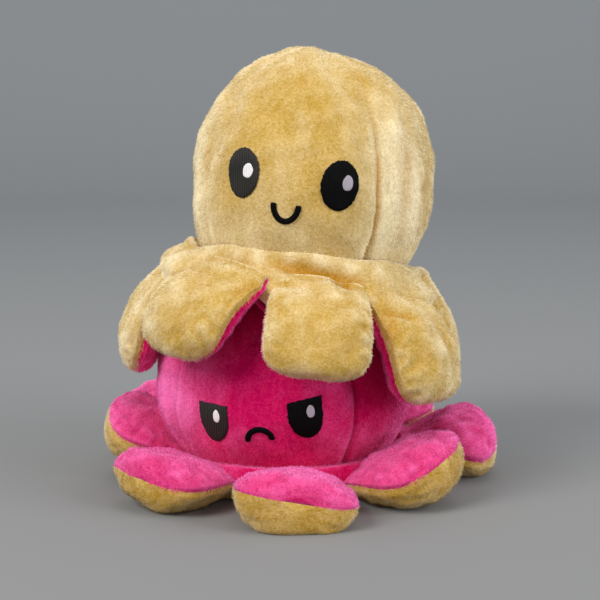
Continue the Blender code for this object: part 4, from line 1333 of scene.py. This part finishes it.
# %% Pile on the heads and skirts
SKIRT_BARE_ROWS = 12  # rows under the skirt's lip that nobody sees
HEAD_SEEDS, SKIRT_SEEDS = {"lower": 301, "upper": 311}, {"lower": 311, "upper": 312}
for name, toy in TOYS.items():
    bpy.context.view_layer.update()
    grid, _, groove, pale = heads[name]
    full = seam_fullness(toy)
    for n, panel in enumerate(PANELS[-1:] + PANELS[:-1]):
        first = round((FIRST_SEAM + 90 * (n - 1)) / 360 * HEAD_COLUMNS)
        chosen = [(first + k) % HEAD_COLUMNS for k in range(HEAD_COLUMNS // 4 + 1)]
        hair = grow_pile(f"{name}_{panel}_pile", grid[:, chosen], False, toy["outer"], HEAD_SEEDS[name] + n,
                         groove[:, chosen], pale[:, chosen], full[:, chosen], -1.0, stitched[name])
        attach(hair, f"{name}_octopus")
    grid, groove, pale = (values[SKIRT_BARE_ROWS:] for values in skirts[name])
    hair = grow_pile(f"{name}_skirt_pile", grid, True, toy["outer"], SKIRT_SEEDS[name], groove, pale,
                     nap_rows=-1.0)
    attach(hair, f"{name}_octopus")

# %% [markdown]
# The photograph was taken on a pale surface with no visible horizon: a sweep, which is one sheet that curves from table
# to wall. Its floor falls off in brightness towards the camera, so the sheet gets painted shade there and is a little
# darker.

# %% Floor and backdrop
SWEEP_RADIUS, SWEEP_STEPS, WALL_AT, WALL_TOP = 1.2, 24, 1.5, 4.0
# The floor colour carries painted shade: darker near the camera.
FLOOR_NEAR, FLOOR_FAR = (0.200, 0.204, 0.206, 1), (0.375, 0.40, 0.415, 1)


def pale_floor():
    """Floor colour with painted shade, a little darker near the camera, so floor and backdrop show alike."""
    material = bpy.data.materials.new("pale_floor")
    material.use_nodes = True
    tree = material.node_tree
    where = tree.nodes.new("ShaderNodeTexCoord").outputs["Object"]
    depth = node(tree, "ShaderNodeSeparateXYZ", {0: where}).outputs[1]
    across = node(tree, "ShaderNodeMapRange", {"Value": depth, "From Min": -0.4, "From Max": 2.6})
    shader = tree.nodes["Principled BSDF"]
    shader.inputs["Roughness"].default_value = 0.9
    tree.links.new(mixed(tree, across.outputs[0], FLOOR_NEAR, FLOOR_FAR), shader.inputs["Base Color"])
    return material


turns = [0.5 * math.pi * k / SWEEP_STEPS for k in range(SWEEP_STEPS + 1)]
sweep = [(WALL_AT + SWEEP_RADIUS * math.sin(turn), SWEEP_RADIUS - SWEEP_RADIUS * math.cos(turn)) for turn in turns]
profile = [(-3.0, 0.0)] + sweep + [(WALL_AT + SWEEP_RADIUS, WALL_TOP)]
points = [(x, y, z) for y, z in profile for x in (-4.0, 4.0)]
floor_mesh = bpy.data.meshes.new("floor")
floor_mesh.from_pydata(points, [], [(2 * k, 2 * k + 1, 2 * k + 3, 2 * k + 2) for k in range(len(profile) - 1)])
floor_mesh.shade_smooth()
floor_mesh.materials.append(pale_floor())
floor = bpy.data.objects.new("floor", floor_mesh)
bpy.context.collection.objects.link(floor)
print("The sheet has", len(floor_mesh.polygons), "faces")

# %% [markdown]
# The light comes from high on the left, through something large, since the toy has one soft shadow side and
# no hard edge under it. An area lamp is the softbox, two weaker ones fill the right and the top, and a pale
# world keeps the shadows open.

# %% Light
AIM = (0, 0, 0.1)
LAMPS = [("key", (-0.9, -0.8, 1.0), 0.7, 17.5, (1.0, 0.97, 0.92)),
         ("fill", (1.1, -0.6, 0.6), 0.9, 10.5, (1, 1, 1)),
         ("top", (0.1, 0.3, 1.4), 0.9, 3.5, (1, 1, 1))]
for name, at, size, power, colour in LAMPS:
    data = bpy.data.lights.new(name, "AREA")
    data.shape = "SQUARE"
    data.size, data.energy, data.color = size, power, colour
    item = bpy.data.objects.new(name, data)
    item.location = at
    item.rotation_euler = (Vector(AIM) - Vector(at)).to_track_quat("-Z", "Y").to_euler()
    bpy.context.collection.objects.link(item)
world = bpy.data.worlds.new("studio")
world.use_nodes = True
background = world.node_tree.nodes["Background"]
background.inputs[0].default_value = (0.97, 0.97, 1.0, 1)
background.inputs[1].default_value = 0.6
bpy.context.scene.world = world
bpy.context.scene.view_settings.view_transform = "Standard"
print("Lamps:", [name for name, *_ in LAMPS])
